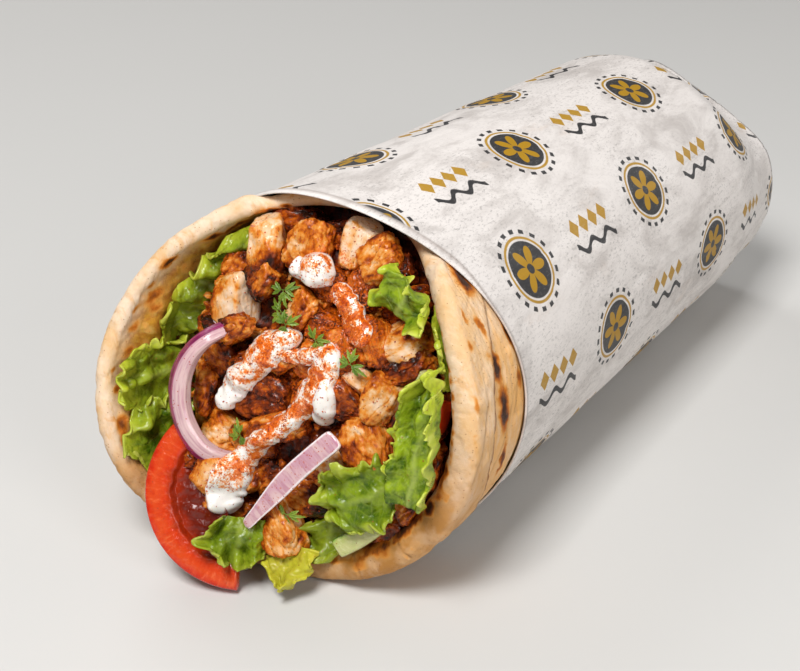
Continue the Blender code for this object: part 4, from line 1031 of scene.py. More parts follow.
def bread_profile(phi, lip):
    """The bread's profile, forward along its outer side, round the lip as a half circle and back
    along the inner side, and the rows where the outer side starts and the lip and the seen inner
    side end."""
    outer_rows, inner_rows, inner_length = 56, 46, 28.0
    half_wall = bread_wall(phi) / 2.0
    hidden = np.maximum(sleeve_s(phi) + 8.0, lip + 8.0)
    end_radius = sleeve_radius(STATIONS[-1], phi) - (PAPER + PAPER_GAP)
    rows = [(BREAD_END, end_radius * 0.45), (BREAD_END - 2.0, end_radius * 0.8)]
    rows += [(s, bread_radius(s, phi)) for s in STATIONS[::-1]]
    outer_start = len(rows)
    for share in np.linspace(0.0, 1.0, outer_rows):
        s = hidden + (lip - hidden) * share ** 0.8
        rows.append((s, np.minimum(bread_radius(s, phi), under_paper(s, phi))))
    outer = np.minimum(bread_radius(lip, phi), under_paper(lip, phi))
    thick = (outer - (hollow_radius(lip, phi) + lip_bevel(0.0, phi))) / 2.0
    for turn in np.linspace(0.0, np.pi, LIP_ROWS)[1:-1]:
        rows.append((lip - half_wall * np.sin(turn), outer - thick + thick * np.cos(turn)))
    lip_end = len(rows)
    for depth in inner_length * np.linspace(0.0, 1.0, inner_rows) ** 1.2:
        rows.append((lip + depth, hollow_radius(lip + depth, phi) + lip_bevel(depth, phi)))
    inner_end = len(rows)
    rows += [(s, hollow_radius(s, phi)) for s in STATIONS[:-1]]
    rows.append((BREAD_END - 6.0, end_radius * 0.55))
    return rows, outer_start, lip_end, inner_end


def bread_relief(grid, s, phi, on_outside):
    """Height of the bread's relief: lumps, creases pinched across the roll, the drawn creases of
    the outer side, and blisters."""
    relief = 0.32 * fractal(grid, (7.0, 9.0, 9.0), 4, 11) + 0.16 * fractal(grid, 2.6, 2, 15)
    for *ends, depth in CREASES:
        relief = relief - depth * crease_at(s, phi, *ends) * on_outside
    relief = relief - 0.22 * ease(1.0 - np.abs(noise(grid, (1.9, 13.0, 13.0), 21)) / 0.12)
    return relief + 0.45 * ease((noise(grid, 5.5, 31) - 0.35) / 0.5)


def bread_marks(grid, s, phi, radius, arc, on_outside):
    """Where the bread is charred, darker underneath as painted shade over a partly real browned
    underside, toasted behind its seam, golden inside, deep in painted shade and dark along its
    seam and creases as a painted shadow, as facts.  The arc runs inward from the lip's crest."""
    inside = ease((arc - 2.4) / 6.0)
    warp = 0.8 * fractal(grid, 2.2, 2, 41)
    behind_crest = arc >= 0.0
    char = np.where(behind_crest, spots_at(INNER_SPOTS, arc + warp, phi, radius),
                    spots_at(OUTER_SPOTS, s + warp, phi, radius))
    toast = ease((noise(grid, (3.0, 4.0, 4.0), 43) + 0.15) / 0.7)
    char = char + 0.10 * toast * np.exp(-((arc - 4.4) / 1.4) ** 2) * behind_crest
    char = char + 0.20 * ease((noise(grid, 2.6, 45) - 0.15) / 0.5) * inside
    near_edge = np.exp(-((arc - 1.7) / 0.6) ** 2) * hump(phi, 104.0, 54.0)
    char = char + near_edge * (0.20 + 0.45 * ease((noise(grid, 1.8, 47) + 0.25) / 0.6))
    behind = s - flap_s(phi)
    # a painted shadow along the flap's free edge and, below, in the creases
    seam = 1.3 * np.exp(-((behind + 0.4) / 0.55) ** 2) * hump(phi, 90.0, 60.0)
    for *ends, depth in CREASES:
        seam = seam + 1.4 * depth * crease_at(s, phi, *ends)
    band = 0.30 * hump(phi, 85.0, 40.0) + 0.70 * hump(phi, 88.0, 40.0) * ease(behind / 1.5)
    band = band * ease((-1.0 - arc) / 1.5)
    # darker towards the underside: painted shade, over a partly real browned underside
    under = ease((np.abs(np.degrees(phi) + 8.0) - 84.0) / 42.0)
    # deep is painted shade further inside the opening
    return {"char": char, "under": under * (1.0 - band), "band": band, "inside": inside,
            "deep": ease((arc - 10.0) / 14.0), "seam": seam * on_outside}


def make_bread(finish):
    """The flatbread: for each direction phi its profile, moved along its normal by the relief."""
    phi = directions(560)
    lip = rim_s(phi) + bread_wall(phi) / 2.0
    profile, outer_start, lip_end, inner_end = bread_profile(phi, lip)
    s, radius = rows_of(profile, phi)
    grid = roll_point(s, phi, radius, 0.5)
    normal = normals_of(grid)
    outward = grid[outer_start] - stacked(s, 0.0, axis_height(s))[outer_start]
    if (normal[outer_start] * outward).sum() < 0.0:
        normal = -normal
    row = np.arange(len(s))[:, None]
    on_outside = row < lip_end
    shown = ease((row - outer_start) / 8.0) * ease((inner_end - row) / 8.0)
    free = np.where(on_outside, ease((sleeve_s(phi) + 1.0 - s) / 3.0), 1.0)
    grid = grid + normal * (bread_relief(grid, s, phi, on_outside) * shown * free)[..., None]
    grid[..., 2] = np.maximum(grid[..., 2], 0.3)
    crest = lip_end - LIP_ROWS // 2
    arc = np.where(on_outside, LIP_ARC * (row - crest) / (lip_end - crest), LIP_ARC + s - lip)
    height = axis_height(BREAD_END)
    piece = loft("flatbread", grid, finish, bread_marks(grid, s, phi, radius, arc, on_outside),
                 [(BREAD_END + 0.5, 0.0, height), (BREAD_END - 5.5, 0.0, height)])
    return keep(piece, "bread", "bread")


def tail_layers(grid):
    """Height of the folded layers on the tail's end and the shade along their edges: two side
    flaps with slanted edges under a wide top flap, each edge a soft step."""
    y, z = grid[..., 1], grid[..., 2] - axis_height(TAIL_END)
    edges = (z + 5.0 + 0.12 * y, y - 0.75 * (z + 30.0) + 6.0, -y - 0.85 * (z + 30.0) + 4.0)
    low = 1.0 - ease(edges[0] / 0.8 + 0.5)
    steps = [ease(edge / 1.2 + 0.5) for edge in edges]
    height = 1.2 * steps[0] + 0.8 * steps[1] * low + 0.8 * steps[2] * low
    shade = [np.exp(-((edge + 0.5) / 0.8) ** 2) for edge in edges]
    creases = np.abs(noise(grid, (9.0, 7.0, 16.0), 65))
    height = height + 0.9 * fractal(grid, 11.0, 2, 67) - 0.5 * ease(1.0 - creases / 0.12) - 1.4
    return height, 0.65 * shade[0] + 0.55 * (shade[1] + shade[2]) * low


def sleeve_profile(phi, edge, hem_width):
    """The paper's profile, from the shut tail forward to the folded hem and back inside, and the
    rows where the tail's end and the outer side end."""
    end_radius = sleeve_radius(TAIL_END, phi)
    rows = [(TAIL_END + TAIL_BULGE * (1.0 - share), end_radius * share)
            for share in np.linspace(0.02, 0.98, 72)]
    tail_rows = len(rows)
    for share in np.linspace(0.0, 1.0, 180):
        s = TAIL_END + (edge + hem_width + 0.2 - TAIL_END) * share
        rows.append((s, sleeve_radius(s, phi)))
    for share, lift in HEM_FOLD:
        rows.append((edge + share * hem_width, sleeve_radius(edge, phi) + lift))
    outer_end = len(rows)
    for step in (0.0, 0.2, 2.0, 6.0):
        rows.append((edge + step, sleeve_radius(edge + step, phi) - PAPER + paper_thinning(step)))
    inner_end = TAIL_END - TAIL_PAPER
    rows += [(s, sleeve_radius(s, phi) - PAPER) for s in (*STATIONS, 184.0, inner_end)]
    rows += [(inner_end + TAIL_BULGE * (1.0 - share), (end_radius - PAPER) * share)
             for share in (0.75, 0.45, 0.15)]
    return rows, tail_rows, outer_end


def make_sleeve(finish):
    """The paper sleeve: a thin shell along its profile, with soft dents, long folds, the step of
    the sheet's free edge and the folded layers of the tail."""
    phi = directions(360)
    edge = sleeve_s(phi)
    near_side = ease((np.degrees(phi) - 38.0) / 20.0) * ease((165.0 - np.degrees(phi)) / 20.0)
    hem_width = HEM_WIDTH * (1.0 - 0.85 * near_side)
    profile, tail_rows, outer_end = sleeve_profile(phi, edge, hem_width)
    s, radius = rows_of(profile, phi)
    row = np.arange(len(s))[:, None]
    outer, on_tail = row < outer_end, row < tail_rows
    floor = np.where(outer, 0.0, PAPER)
    grid = roll_point(s, phi, radius)
    grid[..., 2] = np.maximum(grid[..., 2], floor)
    dents = 0.35 * fractal(grid, (26.0, 14.0, 14.0), 3, 51) - 0.2
    dents = dents - 0.18 * ease(1.0 - np.abs(noise(grid, (60.0, 9.0, 9.0), 61)) / 0.10)
    calm = ease((s - edge - HEM_WIDTH) / 6.0) * outer * ~on_tail
    overlap = (np.degrees(phi) - SHEET_EDGE) * np.radians(1.0) * radius
    dents = dents + 0.35 * ease(overlap / 0.5) * ease((60.0 - overlap) / 55.0) * (radius > 25.0)
    grid = grid + stacked(0.0, -np.sin(phi), np.cos(phi)) * (dents * calm)[..., None]
    layers, tail_edge_shade = tail_layers(grid)
    grid[..., 0] = grid[..., 0] + layers * on_tail
    grid[..., 2] = np.maximum(grid[..., 2], floor)
    hem = edge + hem_width
    printed = ease((s - hem - 0.3) / 0.3) * ease((TAIL_END - 0.5 - s) / 0.5) * outer
    # painted shadow along the hem's fold, the tail's layer edges and the sheet's free edge
    fold = np.exp(-((s - hem) / 0.3) ** 2) * outer + tail_edge_shade * on_tail
    fold = fold + 0.6 * np.exp(-((overlap + 0.2) / 0.35) ** 2) * outer * ~on_tail
    tip, height = TAIL_END + TAIL_BULGE, axis_height(TAIL_END)
    piece = loft("paper_sleeve_printed", grid, finish, {"print": printed, "fold": fold},
                 [(tip, 0.0, height), (tip - TAIL_PAPER, 0.0, height)],
                 stacked(s, phi / (2.0 * np.pi) * PRINT_ROUND))
    return keep(piece, "paper", "paper_sleeve")


# ---------------------------------------------------------------- filling

def make_core(finish):
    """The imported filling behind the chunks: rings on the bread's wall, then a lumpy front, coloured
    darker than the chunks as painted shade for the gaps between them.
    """
    phi = np.linspace(-np.pi, np.pi, 160, endpoint=False)
    back = hollow_radius(160.0, phi) - CORE_GAP
    rings = [roll_point(CORE_END, phi, back * 0.6), roll_point(CORE_END - 4.0, phi, back * 0.88)]
    rings += [roll_point(s, phi, hollow_radius(s, phi) - CORE_GAP)
              for s in (160.0, 130.0, 95.0, 60.0, 42.0)]
    step = 29.0 - 5.0 * hump(phi, -60.0, 40.0) + 6.0 * hump(phi, 15.0, 35.0)
    stops = ((step + 1.0, -17.0), (step, -10.0), (18.0, -7.0), (9.0, -6.5), (1.0, CORE_FRONT))
    circle = stacked(np.sin(phi), np.cos(phi), 0.0)
    knots = np.array([wall_point(phi, TRENCH_DEPTH, CORE_GAP)]
                     + [from_mouth(circle * np.reshape(radius, (-1, 1)) + (0.0, 0.0, w))
                        for radius, w in stops])
    share = np.linspace(0.0, len(knots) - 1.0, 90)
    low = np.minimum(share.astype(int), len(knots) - 2)
    part = (share - low)[:, None, None]
    fine = knots[low] * (1.0 - part) + knots[low + 1] * part
    lumps = (1.0 - crags(fine, 3.4, 71)) * 1.6 + 0.6 * fractal(fine, 1.8, 2, 73)
    fine = fine + MOUTH[2] * (lumps * ease(share)[:, None])[..., None]
    # darker than the chunks: painted shade for the gaps between them
    brown = np.concatenate((np.full((len(rings), len(phi)), 0.88), 0.86 + 0.16 * noise(fine, 2.5, 75)))
    rings = np.concatenate((rings, fine))
    ends = [(CORE_END + 1.0, 0.0, axis_height(CORE_END)), from_mouth((0.0, 0.0, CORE_FRONT))]
    piece = loft("packed_filling", rings, finish, {"brown": brown, "grain": rings}, ends)
    return keep(piece, "chicken", "filling")


def block_radius(ball, seed):
    """Radius of an uneven block in each direction of the ball, and how near an edge that is:
    six leaning sides and five cut corners, blended by a high power mean."""
    random = np.random.default_rng(seed)
    sides = np.concatenate((np.eye(3), -np.eye(3))) + random.normal(0.0, 0.22, (6, 3))
    planes = unit(np.concatenate((sides, random.normal(size=(5, 3)))))
    distance = np.concatenate((random.uniform(0.84, 1.06, 6), random.uniform(0.96, 1.2, 5)))
    facing = np.maximum(ball @ planes.T, 0.0) / distance
    radius = ((facing ** BLOCK_SHARPNESS).sum(-1) + 0.72 ** BLOCK_SHARPNESS) ** (-1.0 / BLOCK_SHARPNESS)
    nearest = np.sort(facing, axis=-1)
    return radius, nearest[:, -2] / nearest[:, -1]


def shape_chunk(place, number):
    """Points (u, v, w), brownness and grain of one chunk: an uneven block with wavering sides,
    fibres along it and clefts between them, and a lumpy crust where it is seared.  The clefts are
    darkened with painted shade."""
    u, v, w, length, width, height, turn, tone, sear, side = place
    seed = 100 + number * 7
    ball = CHUNK_SKIN[0]
    radius, edge = block_radius(ball, seed)
    shape = ball * radius[:, None] * np.array((length, width, height)) * CHUNK_SCALE
    grain = shape + np.random.default_rng(seed).uniform(-90.0, 90.0, 3)
    turn, side = np.radians((turn, side))
    along = np.array((np.cos(turn), np.sin(turn)))
    across = np.array((-np.sin(turn), np.cos(turn)))
    flat = shape[:, :1] * along + shape[:, 1:2] * across
    slope = flat @ np.array((np.cos(side), np.sin(side))) / (length / 2.0)
    patches = fractal(grain, 3.6, 3, seed + 2)
    torn = ease((edge - 0.74) / 0.26)
    plain = ease((0.30 - tone) / 0.22)
    brown = tone + sear * ease((slope + 0.2) / 1.1) + torn * (0.12 + 0.30 * patches)
    brown = brown + (0.18 - 0.14 * plain) * patches
    crust = ease((brown - 0.36) / 0.22)
    tears = ease(np.abs(noise(grain, (6.0, 2.6, 2.6), seed + 3)) / 0.12) - 1.0
    lift = (0.45 * fractal(grain, 3.4, 2, seed + 4)
            + (0.22 - 0.12 * plain) * noise(grain, (4.0, 1.1, 1.1), seed + 5)
            + crust * (0.34 * (0.5 - crags(grain, 1.9, seed + 6)) + 0.26 * noise(grain, 1.1, seed + 8))
            + 0.10 * noise(grain, 0.55, seed + 7)
            + (0.40 - 0.30 * plain) * tears - 0.30 * torn * np.abs(patches))
    shape = shape + ball * lift[:, None]
    flat = shape[:, :1] * along + shape[:, 1:2] * across
    points = np.concatenate((flat, shape[:, 2:]), axis=1) + np.array((u, v, w))
    # browner in the clefts between the fibres: painted shade
    return points, brown - 0.12 * tears, grain


def paprika_near(points):
    """How much paprika fell round each point: soft humps round the knots of the sauce."""
    total = 0.0
    for _, knots in SAUCE_RUNS.values():
        for u, v, _, dust in knots:
            away = (points[..., 0] - u) ** 2 + (points[..., 1] - v) ** 2
            total = total + 0.6 * dust * np.exp(-away / 5.5 ** 2)
    return np.minimum(total, 1.0)


def make_chunk(name, chunk, finish):
    """One chunk of chicken, from its shaped points."""
    points, brown, grain = chunk
    facts = {"brown": brown, "grain": grain, "dust": paprika_near(points)}
    piece = build("chicken_" + name, from_mouth(points), [CHUNK_SKIN[1]], finish, facts)
    return keep(piece, "chicken", "filling")


def make_shreds(name, count, size, depth, steps, seed, finish):
    """Small torn bits of chicken in the gaps between the chunks, as one piece: blocks stretched
    at random, with rough sides."""
    random = np.random.default_rng(seed)
    ball, quads = ball_skin(steps)
    angle, reach = random.uniform(0.0, 2.0 * np.pi, count), random.uniform(0.0, 1.0, count) ** 0.5
    place = stacked(reach * 33.0 * np.cos(angle), reach * 35.0 * np.sin(angle) + 2.0,
                    random.uniform(*depth, count) - 4.0 * reach ** 3)
    sizes = random.uniform(*size, (count, 1, 3)) * np.array((1.5, 1.0, 0.9))
    radius = np.stack([block_radius(ball, seed * 1000 + k)[0] for k in range(count)])
    axes = random.normal(size=(count, 3, 3))
    first = unit(axes[:, 0])
    second = unit(np.cross(first, axes[:, 1]))
    spin = np.stack((first, second, np.cross(first, second)), axis=1)
    points = (ball[None] * radius[..., None] * sizes / 2.0) @ spin
    shift = random.uniform(-99.0, 99.0, (count, 1, 3))
    points = points * (1.0 + 0.55 * fractal(points + shift, 1.3, 2, 81)[..., None])
    brown = random.uniform(0.22, 0.80, (count, 1)) + 0.22 * noise(points + shift, 1.2, 83)
    grain = points + shift
    points = place[:, None] + points
    facts = {"brown": brown, "grain": grain, "dust": paprika_near(points)}
    piece = build("chicken_" + name, from_mouth(points), [repeated(quads, len(ball), count)],
                  finish, facts)
    return keep(piece, "chicken", "filling")


def spread(heap, merge):
    """Each cell of the heap merged with its four neighbours."""
    beside = [np.roll(heap, step, axis) for axis in (0, 1) for step in (-1, 1)]
    return merge(np.stack([heap] + beside), axis=0)


def heap_relief(clouds):
    """Height w of the heap over a square grid of u and v, its narrow gaps bridged: the highest
    point in each cell, then cells grown, shrunk again and levelled with their neighbours."""
    size = int(2 * HEAP_REACH / HEAP_STEP) + 1
    heap = np.full((size, size), -10.0)
    for points in clouds:
        cell = np.rint((points[:, :2] + HEAP_REACH) / HEAP_STEP).astype(int).clip(0, size - 1)
        np.maximum.at(heap, (cell[:, 0], cell[:, 1]), points[:, 2])
    for merge, times in ((np.max, 5), (np.min, 4), (np.mean, 5)):
        for _ in range(times):
            heap = spread(heap, merge)
    return heap


def heap_height(heap, points):
    """Height w of the heap at points (u, v), read between the grid's cells."""
    place = ((points + HEAP_REACH) / HEAP_STEP).clip(0, len(heap) - 1.001)
    low = np.floor(place).astype(int)
    a, b = (place - low)[..., 0], (place - low)[..., 1]
    i, j = low[..., 0], low[..., 1]
    return ((heap[i, j] * (1 - a) + heap[i + 1, j] * a) * (1 - b)
            + (heap[i, j + 1] * (1 - a) + heap[i + 1, j + 1] * a) * b)


def shape_sauce(name, place, heap):
    """Points (u, v, w) and dusting of a run of sauce laid over the heap: each cross-section is a
    low dome, swollen and pinched by noise, on the heap below it, which is evened out along and
    across the run.  Its ends are round and its underside is sunk out of sight."""
    depth, knots = place
    line = smooth_path(knots, 30 * len(knots))
    path, half, dust = line[:, :2], line[:, 2], line[:, 3]
    columns = 72
    along = unit(np.gradient(path, axis=0))
    side = np.stack((along[:, 1], -along[:, 0]), -1)
    run = np.concatenate(([0.0], np.linalg.norm(np.diff(path, axis=0), axis=1).cumsum()))
    left = np.minimum(np.minimum(run, run[-1] - run) / half, 1.0)
    taper = np.sqrt(np.clip(1.0 - (1.0 - left) ** 2, 0.0, 1.0))
    turn = np.linspace(0.0, 2.0 * np.pi, columns, endpoint=False)[None, :]
    spot = stacked(np.cos(turn) * 3.0, path[:, :1], path[:, 1:])
    uneven = 0.36 * fractal(spot, 4.2, 2, 91 + len(name)) + 0.18 * noise(spot, 1.6, 95)
    swell = 1.05 + uneven * taper[:, None]
    reach = (half * taper)[:, None] * swell * np.cos(turn)
    flat = path[:, None] + reach[..., None] * side[:, None]
    dome = np.sign(np.sin(turn)) * np.abs(np.sin(turn)) ** 1.1
    rise = np.where(dome > 0.0, dome * depth, dome * 2.4) * taper[:, None] ** 0.7
    lumps = 0.5 * fractal(stacked(flat[..., 0], flat[..., 1], 0.0), 3.4, 2, 93)
    rise = rise + lumps * (dome > 0.0) * dome
    base = np.maximum(heap_height(heap, flat), SAUCE_FLOOR)
    for _ in range(SAUCE_SLUMP):
        base = (np.roll(base, 1, 1) + base + np.roll(base, -1, 1)) / 3.0
        base[1:-1] = (base[:-2] + base[1:-1] + base[2:]) / 3.0
    base = base - 0.25 * np.abs(np.cos(turn)) ** 4
    rings = stacked(flat[..., 0], flat[..., 1], base + rise)
    dusting = dust[:, None] * (0.35 + 0.65 * ease((dome + 0.1) / 0.8))
    dusting = dusting + 0.3 * noise(rings, 4.2, 97) * np.minimum(dust[:, None] * 2.0, 1.0)
    return rings, np.clip(dusting, 0.0, 1.2)


def make_sauce(name, shape, finish):
    """One run of sauce, from its shaped points."""
    rings, dusting = shape
    piece = loft("sauce_" + name, from_mouth(rings), finish, {"dust": dusting})
    return keep(piece, None, "filling")


def make_sprig(number, place, finish):
    """A parsley leaf: three leaflets on short stalks, each parted into three narrow pointed
    blades, which are folded along their middles and toothed."""
    random = np.random.default_rng(300 + number)
    columns, rows = 9, 30
    across = np.linspace(-1.0, 1.0, columns)[None, None, :]
    along = np.linspace(0.0, 1.0, rows)[None, :, None]
    spin = random.uniform(0.0, 2.0 * np.pi)
    leaflet = np.repeat(np.radians((-100.0, 0.0, 100.0)) + random.uniform(-0.2, 0.2, 3), 3) + spin
    blade = leaflet + np.tile(np.radians((-38.0, 0.0, 38.0)), 3) + random.uniform(-0.12, 0.12, 9)
    length = SPRIG_RADIUS * np.tile((0.66, 0.92, 0.66), 3) * random.uniform(0.85, 1.15, 9)
    leaflet, blade, length = (part[:, None, None] for part in (leaflet, blade, length))
    stalk = SPRIG_RADIUS * 0.18 * np.minimum(along / 0.35, 1.0)
    out = length * np.clip((along - 0.35) / 0.65, 0.0, 1.0)
    share = np.clip((along - 0.28) / 0.72, 0.0, 1.0)
    teeth = 1.0 - 0.38 * np.abs(np.cos(3.5 * np.pi * share))
    half = SPRIG_RADIUS * (0.020 + 0.125 * np.sin(np.pi * share ** 0.8) * teeth)
    aside = across * half
    forward = out + 0.5 * np.abs(aside)
    x = stalk * np.cos(leaflet) + forward * np.cos(blade) - aside * np.sin(blade)
    y = stalk * np.sin(leaflet) + forward * np.sin(blade) + aside * np.cos(blade)
    waves = 0.25 * np.sin(5.0 * along + blade * 7.0) * along
    lift = 0.5 * np.abs(aside) + waves - 0.05 * (x ** 2 + y ** 2)
    tilt = random.uniform(-0.3, 0.3, 2)
    points = stacked(x, y, lift + tilt[0] * x + tilt[1] * y + 0.5) + np.array(place)
    faces = repeated(grid_faces(rows, columns, wrap=False), rows * columns, len(blade))
    edge = np.clip(np.abs(across) * 0.5 + along * 0.4 + 0.3 * np.cos(blade * 9.0), 0.0, 1.0)
    piece = build(f"parsley_{number}", from_mouth(points), [faces], finish, {"edge": edge},
                  closed=False)
    thicken(piece, BLADE_THICKNESS)
    return keep(piece, None, "filling")


# ---------------------------------------------------------------- salad

def make_leaf(name, leaf, number, finish):
    """A lettuce leaf: a curved midline with a blade to both sides that is ruffled and lobed
    more and more towards its rim, blistered between its veins."""
    places, (cup, ruffle, waves, taper, pressed) = leaf
    columns, rows = 120, 72
    a = np.linspace(-1.0, 1.0, columns)[None, :]
    b = np.linspace(0.0, 1.0, rows)[:, None]
    root, middle, tip, half = (np.array(place, float) for place in places)
    bend = 2.0 * middle - (root + tip) / 2.0
    line = ((1 - b) ** 2 * root + 2 * b * (1 - b) * bend + b ** 2 * tip)[:, None]
    facing = unit(np.cross(half, tip - root))
    facing = facing * np.sign(facing[2] or 1.0)
    length, reach = np.linalg.norm(tip - root), np.linalg.norm(half)
    flat = stacked(a * reach, b * length, number * 40.0)
    rim = np.maximum(np.abs(a), b)
    breadth = (0.72 + 0.5 * np.sin(np.pi * (0.12 + 0.68 * b))) * (1.0 - taper * b ** 1.5)
    lobes = 1.0 + 0.40 * noise(flat, 3.8, 101) * rim ** 2 + 0.20 * noise(flat, 1.5, 103) * rim ** 5
    phase = sum(ord(letter) for letter in name)
    wave = np.sin(waves * np.pi * a + phase + 2.0 * b) * np.maximum(np.abs(a) ** 2, b ** 2) * ruffle
    frill = rim ** 2 * 3.4 * noise(flat, 4.2, 105) + rim ** 4 * 1.9 * noise(flat, 1.9, 107)
    blister = 0.70 * noise(flat, 3.8, 109) + 0.28 * noise(flat, 1.6, 110)
    drop = -0.22 * length * np.abs(a) ** 2.5 * b
    vein = np.abs(((b * length * 0.9 - np.abs(a) * reach * 0.8) / 3.4 + 0.5) % 1.0 - 0.5) * 2.0
    veins = ease(1.0 - vein / 0.16) * (1.0 - rim ** 2) * 0.6
    bent = a + 0.12 * noise(flat * np.array((0.0, 1.0, 1.0)), 5.0, 113)
    midrib = ease(1.0 - np.abs(bent) * reach / (1.2 - 0.7 * b)) * (1.0 - b ** 2)
    rib = np.maximum(veins * 0.6, midrib * 0.55)
    crumple = 1.5 * fractal(flat, 6.5, 2, 115) * (0.4 + 0.6 * rim)
    lift = wave - cup * a ** 2 + frill + crumple + blister * (1.0 - rib) + 0.2 * midrib
    points = (line + (a * breadth * lobes)[..., None] * half + lift[..., None] * facing
              + (drop + 0.10 * length * (lobes - 1.0) * b)[..., None] * unit(tip - root))
    points = from_mouth(points)
    if pressed:
        points = press_to_wall(points, 0.9)
    points[..., 2] = np.maximum(points[..., 2], 0.3)
    # dark is painted shade over the whole leaf
    yellow, dark = LEAF_TINTS_AND_SHADE[name]
    facts = {"edge": rim + 0.12 * noise(flat, 2.0, 111), "rib": rib, "yellow": yellow, "dark": dark}
    piece = build("leaf_" + name, points, [grid_faces(rows, columns, wrap=False)], finish, facts,
                  closed=False)
    thicken(piece, LEAF_THICKNESS)
    return keep(piece, "lettuce", "lettuce_" + name)


def make_tomato(finish):
    """The tomato slice: concentric copies of its outline from the middle out over the rounded
    rim and back, with a wet, dented middle."""
    slope = np.array(TOMATO_SLOPE)
    facing = unit(np.array((-slope[0], -slope[1], 1.0)))
    first = unit(np.array((1.0, 0.0, slope[0])))
    second = np.cross(facing, first)
    turn = np.radians(np.linspace(*TOMATO_ARC, 200))[:, None]
    middle = np.array(TOMATO_MIDDLE)
    arc = middle + TOMATO_RADIUS * (np.cos(turn) * first + np.sin(turn) * second)
    cut = np.linspace(arc[-1], arc[0], 60)[1:-1]
    bow = np.sin(np.linspace(0.0, np.pi, 60))[1:-1, None] ** 0.7
    cut = cut + TOMATO_BOW * bow * unit(middle - cut.mean(axis=0))
    outline = np.concatenate((arc, cut))
    centre = outline.mean(axis=0)
    share = np.concatenate((np.linspace(0.04, 0.96, 44), [share for share, _ in TOMATO_RIM],
                            np.linspace(0.96, 0.04, 10)))
    level = np.concatenate((np.full(44, 0.5), [level for _, level in TOMATO_RIM], np.full(10, -0.5)))
    rings = centre + (outline - centre) * share[:, None, None]
    ring = np.linalg.norm(rings - middle, axis=-1) / TOMATO_RADIUS
    rings = rings + facing * TOMATO_THICKNESS * level[:, None, None]
    pulp = ease((0.745 - ring + 0.02 * noise(rings, 2.5, 125)) / 0.06)
    crown = np.sin(np.pi * np.clip((ring - 0.72) / 0.28, 0.0, 1.0)) - 0.3
    relief = 0.14 * fractal(rings, 2.0, 3, 121) + 0.5 * crown * (1.0 - pulp)
    relief = relief - pulp * (1.3 + 0.9 * crags(rings, 2.4, 123))
    spin = np.arctan2((rings - middle) @ second, (rings - middle) @ first)
    facts = {"ring": ring, "around": stacked(spin * TOMATO_RADIUS, ring * TOMATO_RADIUS, 0.0)}
    top = level[:, None] >= 0.44
    rings = from_mouth(rings + facing * (relief * top)[..., None])
    rings[..., 2] = np.maximum(rings[..., 2], 0.1)
    return keep(loft("tomato_half_slice", rings, finish, facts), "tomato", "tomato_slice")


def make_onion_ring(finish):
    """The onion arc: a rounded section swept along a circle that leans to one side, with both
    ends dipping into the heap and the upper one narrower, its outer corner slanted and purple."""
    count, columns = 150, 60
    turn = np.radians(np.linspace(*ONION_ARC, count))[:, None]
    share = np.linspace(-1.0, 1.0, count)[:, None]
    inner, outer = ONION_RADII
    knots = np.array(ONION_SECTION)
    angle = np.linspace(0.0, len(knots), columns, endpoint=False)
    low = angle.astype(int)
    part = (angle - low)[:, None]
    around = [knots[(low + k) % len(knots)] for k in (-1, 0, 1, 2)]
    corner = (around[1] * (1.0 - part) + around[2] * part) * 0.75 + 0.125 * (
        (around[0] * (1.0 - part) + around[1] * part) + (around[2] * (1.0 - part) + around[3] * part))
    x, y = corner[None, :, 0], corner[None, :, 1]
    height = ONION_HEIGHT - ONION_DROP * share ** 2 - ONION_DIVE * share ** 6 - ONION_TILT * share
    radius = inner + (outer - inner) * (0.5 + (x - 0.5) * (1.0 - ONION_NARROWING * ease(-share)))
    points = stacked(ONION_MIDDLE[0] + radius * np.cos(turn), ONION_MIDDLE[1] + radius * np.sin(turn),
                     height + ONION_DEPTH * (y - 0.5))
    points[..., 2] = points[..., 2] + 0.16 * noise(points, 3.0, 131)
    along = stacked(np.degrees(turn) * 0.3, (x * 2.0 - 1.0) * 2.0, (y * 2.0 - 1.0) * 2.0)
    facts = {"skin": ease((x - 0.90) / 0.08), "blush": 0.35 * ease((x - 0.55) / 0.4), "along": along}
    return keep(loft("onion_arc", from_mouth(points), finish, facts), "onion", "onion_ring")


def make_stick(name, stick, finish):
    """A cut strip: a rounded oblong section carried along a gently bent path."""
    path, across, width, thickness, narrow, slot = stick
    path = smooth_path(path, 70)
    across = unit(np.array(across, float))
    along = unit(path[-1] - path[0])
    facing = unit(np.cross(along, across))
    facing = facing * np.sign(facing[2])
    angle = np.linspace(0.0, 2.0 * np.pi, 44, endpoint=False)[None, :]
    x = np.sign(np.cos(angle)) * np.abs(np.cos(angle)) ** 0.4 / 2.0
    y = np.sign(np.sin(angle)) * np.abs(np.sin(angle)) ** 0.4 / 2.0
    share = np.linspace(-1.0, 1.0, len(path))[:, None]
    taper = np.clip(1.0 - np.abs(share) ** 30, 0.0, 1.0) ** 0.4
    taper = taper * (1.0 - (1.0 - narrow) * ease((share - 0.1) / 0.9))
    rings = (path[:, None] + across * (x * width * taper)[..., None]
             + facing * (y * thickness * taper)[..., None])
    rings = rings + facing * (0.14 * noise(rings, 2.5, 141))[..., None]
    facts = {"tomato": {"ring": 0.8}, "cucumber": {"rind": np.clip(x * 2.0, 0.0, 1.0)},
             "onion": {"skin": 0.0, "blush": np.clip(0.25 + 0.5 * noise(rings, 3.0, 143), 0.0, 1.0),
                       "cross": 1.0, "rim": ease((np.abs(x) - 0.38) / 0.06),
                       "along": stacked(share * 10.0, x * width, y)}}[slot]
    piece = loft(name + "_cut", from_mouth(rings), finish, facts, from_mouth(path[[0, -1]]))
    return keep(piece, slot, name)


# ---------------------------------------------------------------- dust

def read(values, name, sides=1):
    """An array of the named numbers of a mesh's points."""
    numbers = np.empty(len(values) * sides, np.float32)
    values.foreach_get(name, numbers)
    return numbers.reshape(-1, 3) if sides == 3 else numbers


